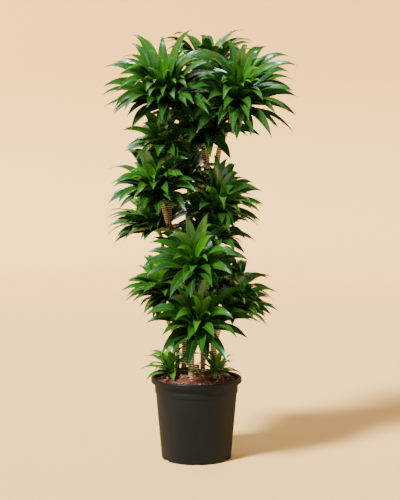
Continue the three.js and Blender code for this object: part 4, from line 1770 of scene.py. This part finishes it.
CANES = (
    Cane(
        "cane_front",
        "head_mid_centre",
        10.5,
        ((-17, -30, 290), (-16, -31, 430), (-14, -24, 600), (-17, -2, 770)),
        (Branch("head_low_front", 0.12, 8), Branch("head_front", 0.42, 8, ((-18, -60, 590),))),
    ),
    Cane(
        "cane_left",
        "head_top_left",
        10,
        ((-44, 30, 290), (-41, 26, 410), (-62, 6, 580), (-88, -22, 740), (-92, -34, 880), (-97, -54, 1030)),
        (Branch("head_mid_left", 0.56, 8), Branch("head_upper_left", 0.76, 7.5)),
    ),
    Cane(
        "cane_thin",
        "head_left",
        8,
        ((-66, 58, 290), (-66, 52, 390), (-84, 48, 500), (-112, 44, 630)),
        (Branch("head_low_left", 0.26, 7, ((-96, 6, 470),)),),
    ),
    Cane(
        "cane_right",
        "head_top_right",
        10.5,
        ((56, 2, 290), (59, 4, 390), (63, 4, 560), (60, -2, 760), (61, -14, 930), (78, -40, 1060)),
        (
            Branch("head_far_right", 0.1, 8),
            Branch("head_low_right", 0.17, 7.5),
            Branch("head_right", 0.42, 7.5),
            Branch("head_mid_right", 0.5, 8),
        ),
    ),
    Cane(
        "cane_back",
        "head_top_back",
        9.5,
        ((22, 58, 290), (26, 58, 500), (32, 48, 760), (34, 38, 950), (40, 66, 1100)),
        (
            Branch("head_low_back", 0.08, 7),
            Branch("head_low_centre", 0.16, 7),
            Branch("head_mid_back", 0.5, 7.5),
            Branch("head_upper_mid", 0.68, 8),
        ),
    ),
)


# ---- Studio -------------------------------------------------------------------------------------


@dataclass(frozen=True)
class Lamp:
    """One soft lamp: where it hangs, what it points at, its power in watts and its size in metres.

    A lamp with a spread is one far away: the spread is the angle that it fills, and its power is that on a
    square metre.
    """

    name: str
    place: tuple[float, float, float]
    aim: tuple[float, float, float]
    power: float
    colour: tuple[float, float, float] = (1.0, 1.0, 1.0)
    size: float = 0.0
    spread: float = 0.0

    def build(self) -> None:
        """Hangs the lamp."""
        if self.spread:
            light = bpy.data.lights.new(self.name, "SUN")
            light.angle = self.spread
        else:
            light = bpy.data.lights.new(self.name, "AREA")
            light.shape = "DISK"
            light.size = self.size
        light.energy = self.power
        light.color = self.colour
        lamp = bpy.data.objects.new(self.name, light)
        lamp.location = self.place
        lamp.rotation_euler = (Vector(self.aim) - Vector(self.place)).to_track_quat("-Z", "Y").to_euler()
        bpy.context.scene.collection.objects.link(lamp)


@dataclass(frozen=True)
class Studio:
    """A plain pale floor that sweeps up behind the plant, soft lamps and the camera. Metres."""

    half_width: float = 8.0
    near: float = -8.0
    sweep_start: float = 5.6
    sweep_radius: float = 1.6
    sweep_steps: int = 24
    top: float = 6.0
    camera_place: tuple[float, float, float] = (0.0123, -4.5, 1.142)
    camera_down: float = 0.0946
    lens: float = 95.97
    lamps: tuple[Lamp, ...] = (
        Lamp("key_lamp", (-2.2, -2.3, 4.1), (0, 0, 0.8), 9.0, (1.0, 0.97, 0.92), spread=0.19),
        Lamp("fill_lamp", (3.0, -3.0, 1.8), (0, 0, 0.8), 30.0, (0.97, 0.98, 1.0), size=2.6),
        Lamp("back_lamp", (-1.2, 1.4, 3.6), (0, 0, 1.0), 30.0, size=1.6),
        Lamp("wall_lamp", (-2.6, 4.8, 3.4), (-1.9, 6.8, 1.2), 55.0, (1.0, 0.74, 0.4), size=1.2),
    )
    ambient: Colour = (0.9, 0.93, 1.0, 1.0)
    ambient_strength: float = 0.29

    def backdrop(self) -> bpy.types.Object:
        """The floor and the wall behind it, as one sweep.

        Returns:
            The piece.
        """
        skin = Skin()
        line = [(self.near, 0.0), (self.sweep_start, 0.0)]
        for step in range(1, self.sweep_steps + 1):
            angle = step / self.sweep_steps * math.pi / 2
            back = self.sweep_start + self.sweep_radius * math.sin(angle)
            line.append((back, self.sweep_radius * (1 - math.cos(angle))))
        line.append((self.sweep_start + self.sweep_radius, self.top))
        points = np.array([[(-self.half_width, y, z), (self.half_width, y, z)] for y, z in line])
        first = skin.add_points(points.reshape(-1, 3), {})
        index = first + np.arange(len(line) * 2).reshape(-1, 2)
        quads = np.stack((index[:-1, 0], index[:-1, 1], index[1:, 1], index[1:, 0]), axis=-1)
        skin.add_faces(quads, 0)
        return skin.piece("floor_sweep", Finish.BACKDROP)

    def camera(self) -> None:
        """Sets the camera at the photographer's eye."""
        scene = bpy.context.scene
        data = bpy.data.cameras.new("plant_camera")
        data.lens = self.lens
        eye = bpy.data.objects.new("plant_camera", data)
        eye.location = self.camera_place
        eye.rotation_euler = (math.pi / 2 - self.camera_down, 0.0, 0.0)
        scene.collection.objects.link(eye)
        scene.camera = eye

    def build(self) -> None:
        """Sets up the floor, the lamps, the air's light and the camera."""
        self.backdrop()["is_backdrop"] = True
        for lamp in self.lamps:
            lamp.build()
        world = bpy.data.worlds.new("studio_air")
        world.use_nodes = True
        background = world.node_tree.nodes["Background"]
        background.inputs["Color"].default_value = self.ambient
        background.inputs["Strength"].default_value = self.ambient_strength
        bpy.context.scene.world = world
        self.camera()


# ---- Assembly -----------------------------------------------------------------------------------


def corners_of(bounds: tuple[Vector, Vector]) -> list[list[float]]:
    """A box as plain lists of numbers."""
    return [list(corner) for corner in bounds]


def main() -> None:
    """Builds the plant piece by piece, then the studio."""
    logging.basicConfig(level=logging.INFO, format="%(name)s: %(message)s")
    solid_size = corners_of(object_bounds())
    Pot().build()
    Soil().build()
    for cane in CANES:
        cane.build()
    Stub().build()
    room = np.array(solid_size) / MM
    for head in HEADS:
        young = head.sunk > 0
        head.build(Finish.SHOOT if young else Finish.LEAF, "young_leaf" if young else "leaf", room)
    Studio().build()
    bpy.context.view_layer.update()


if __name__ == "__main__":
    main()
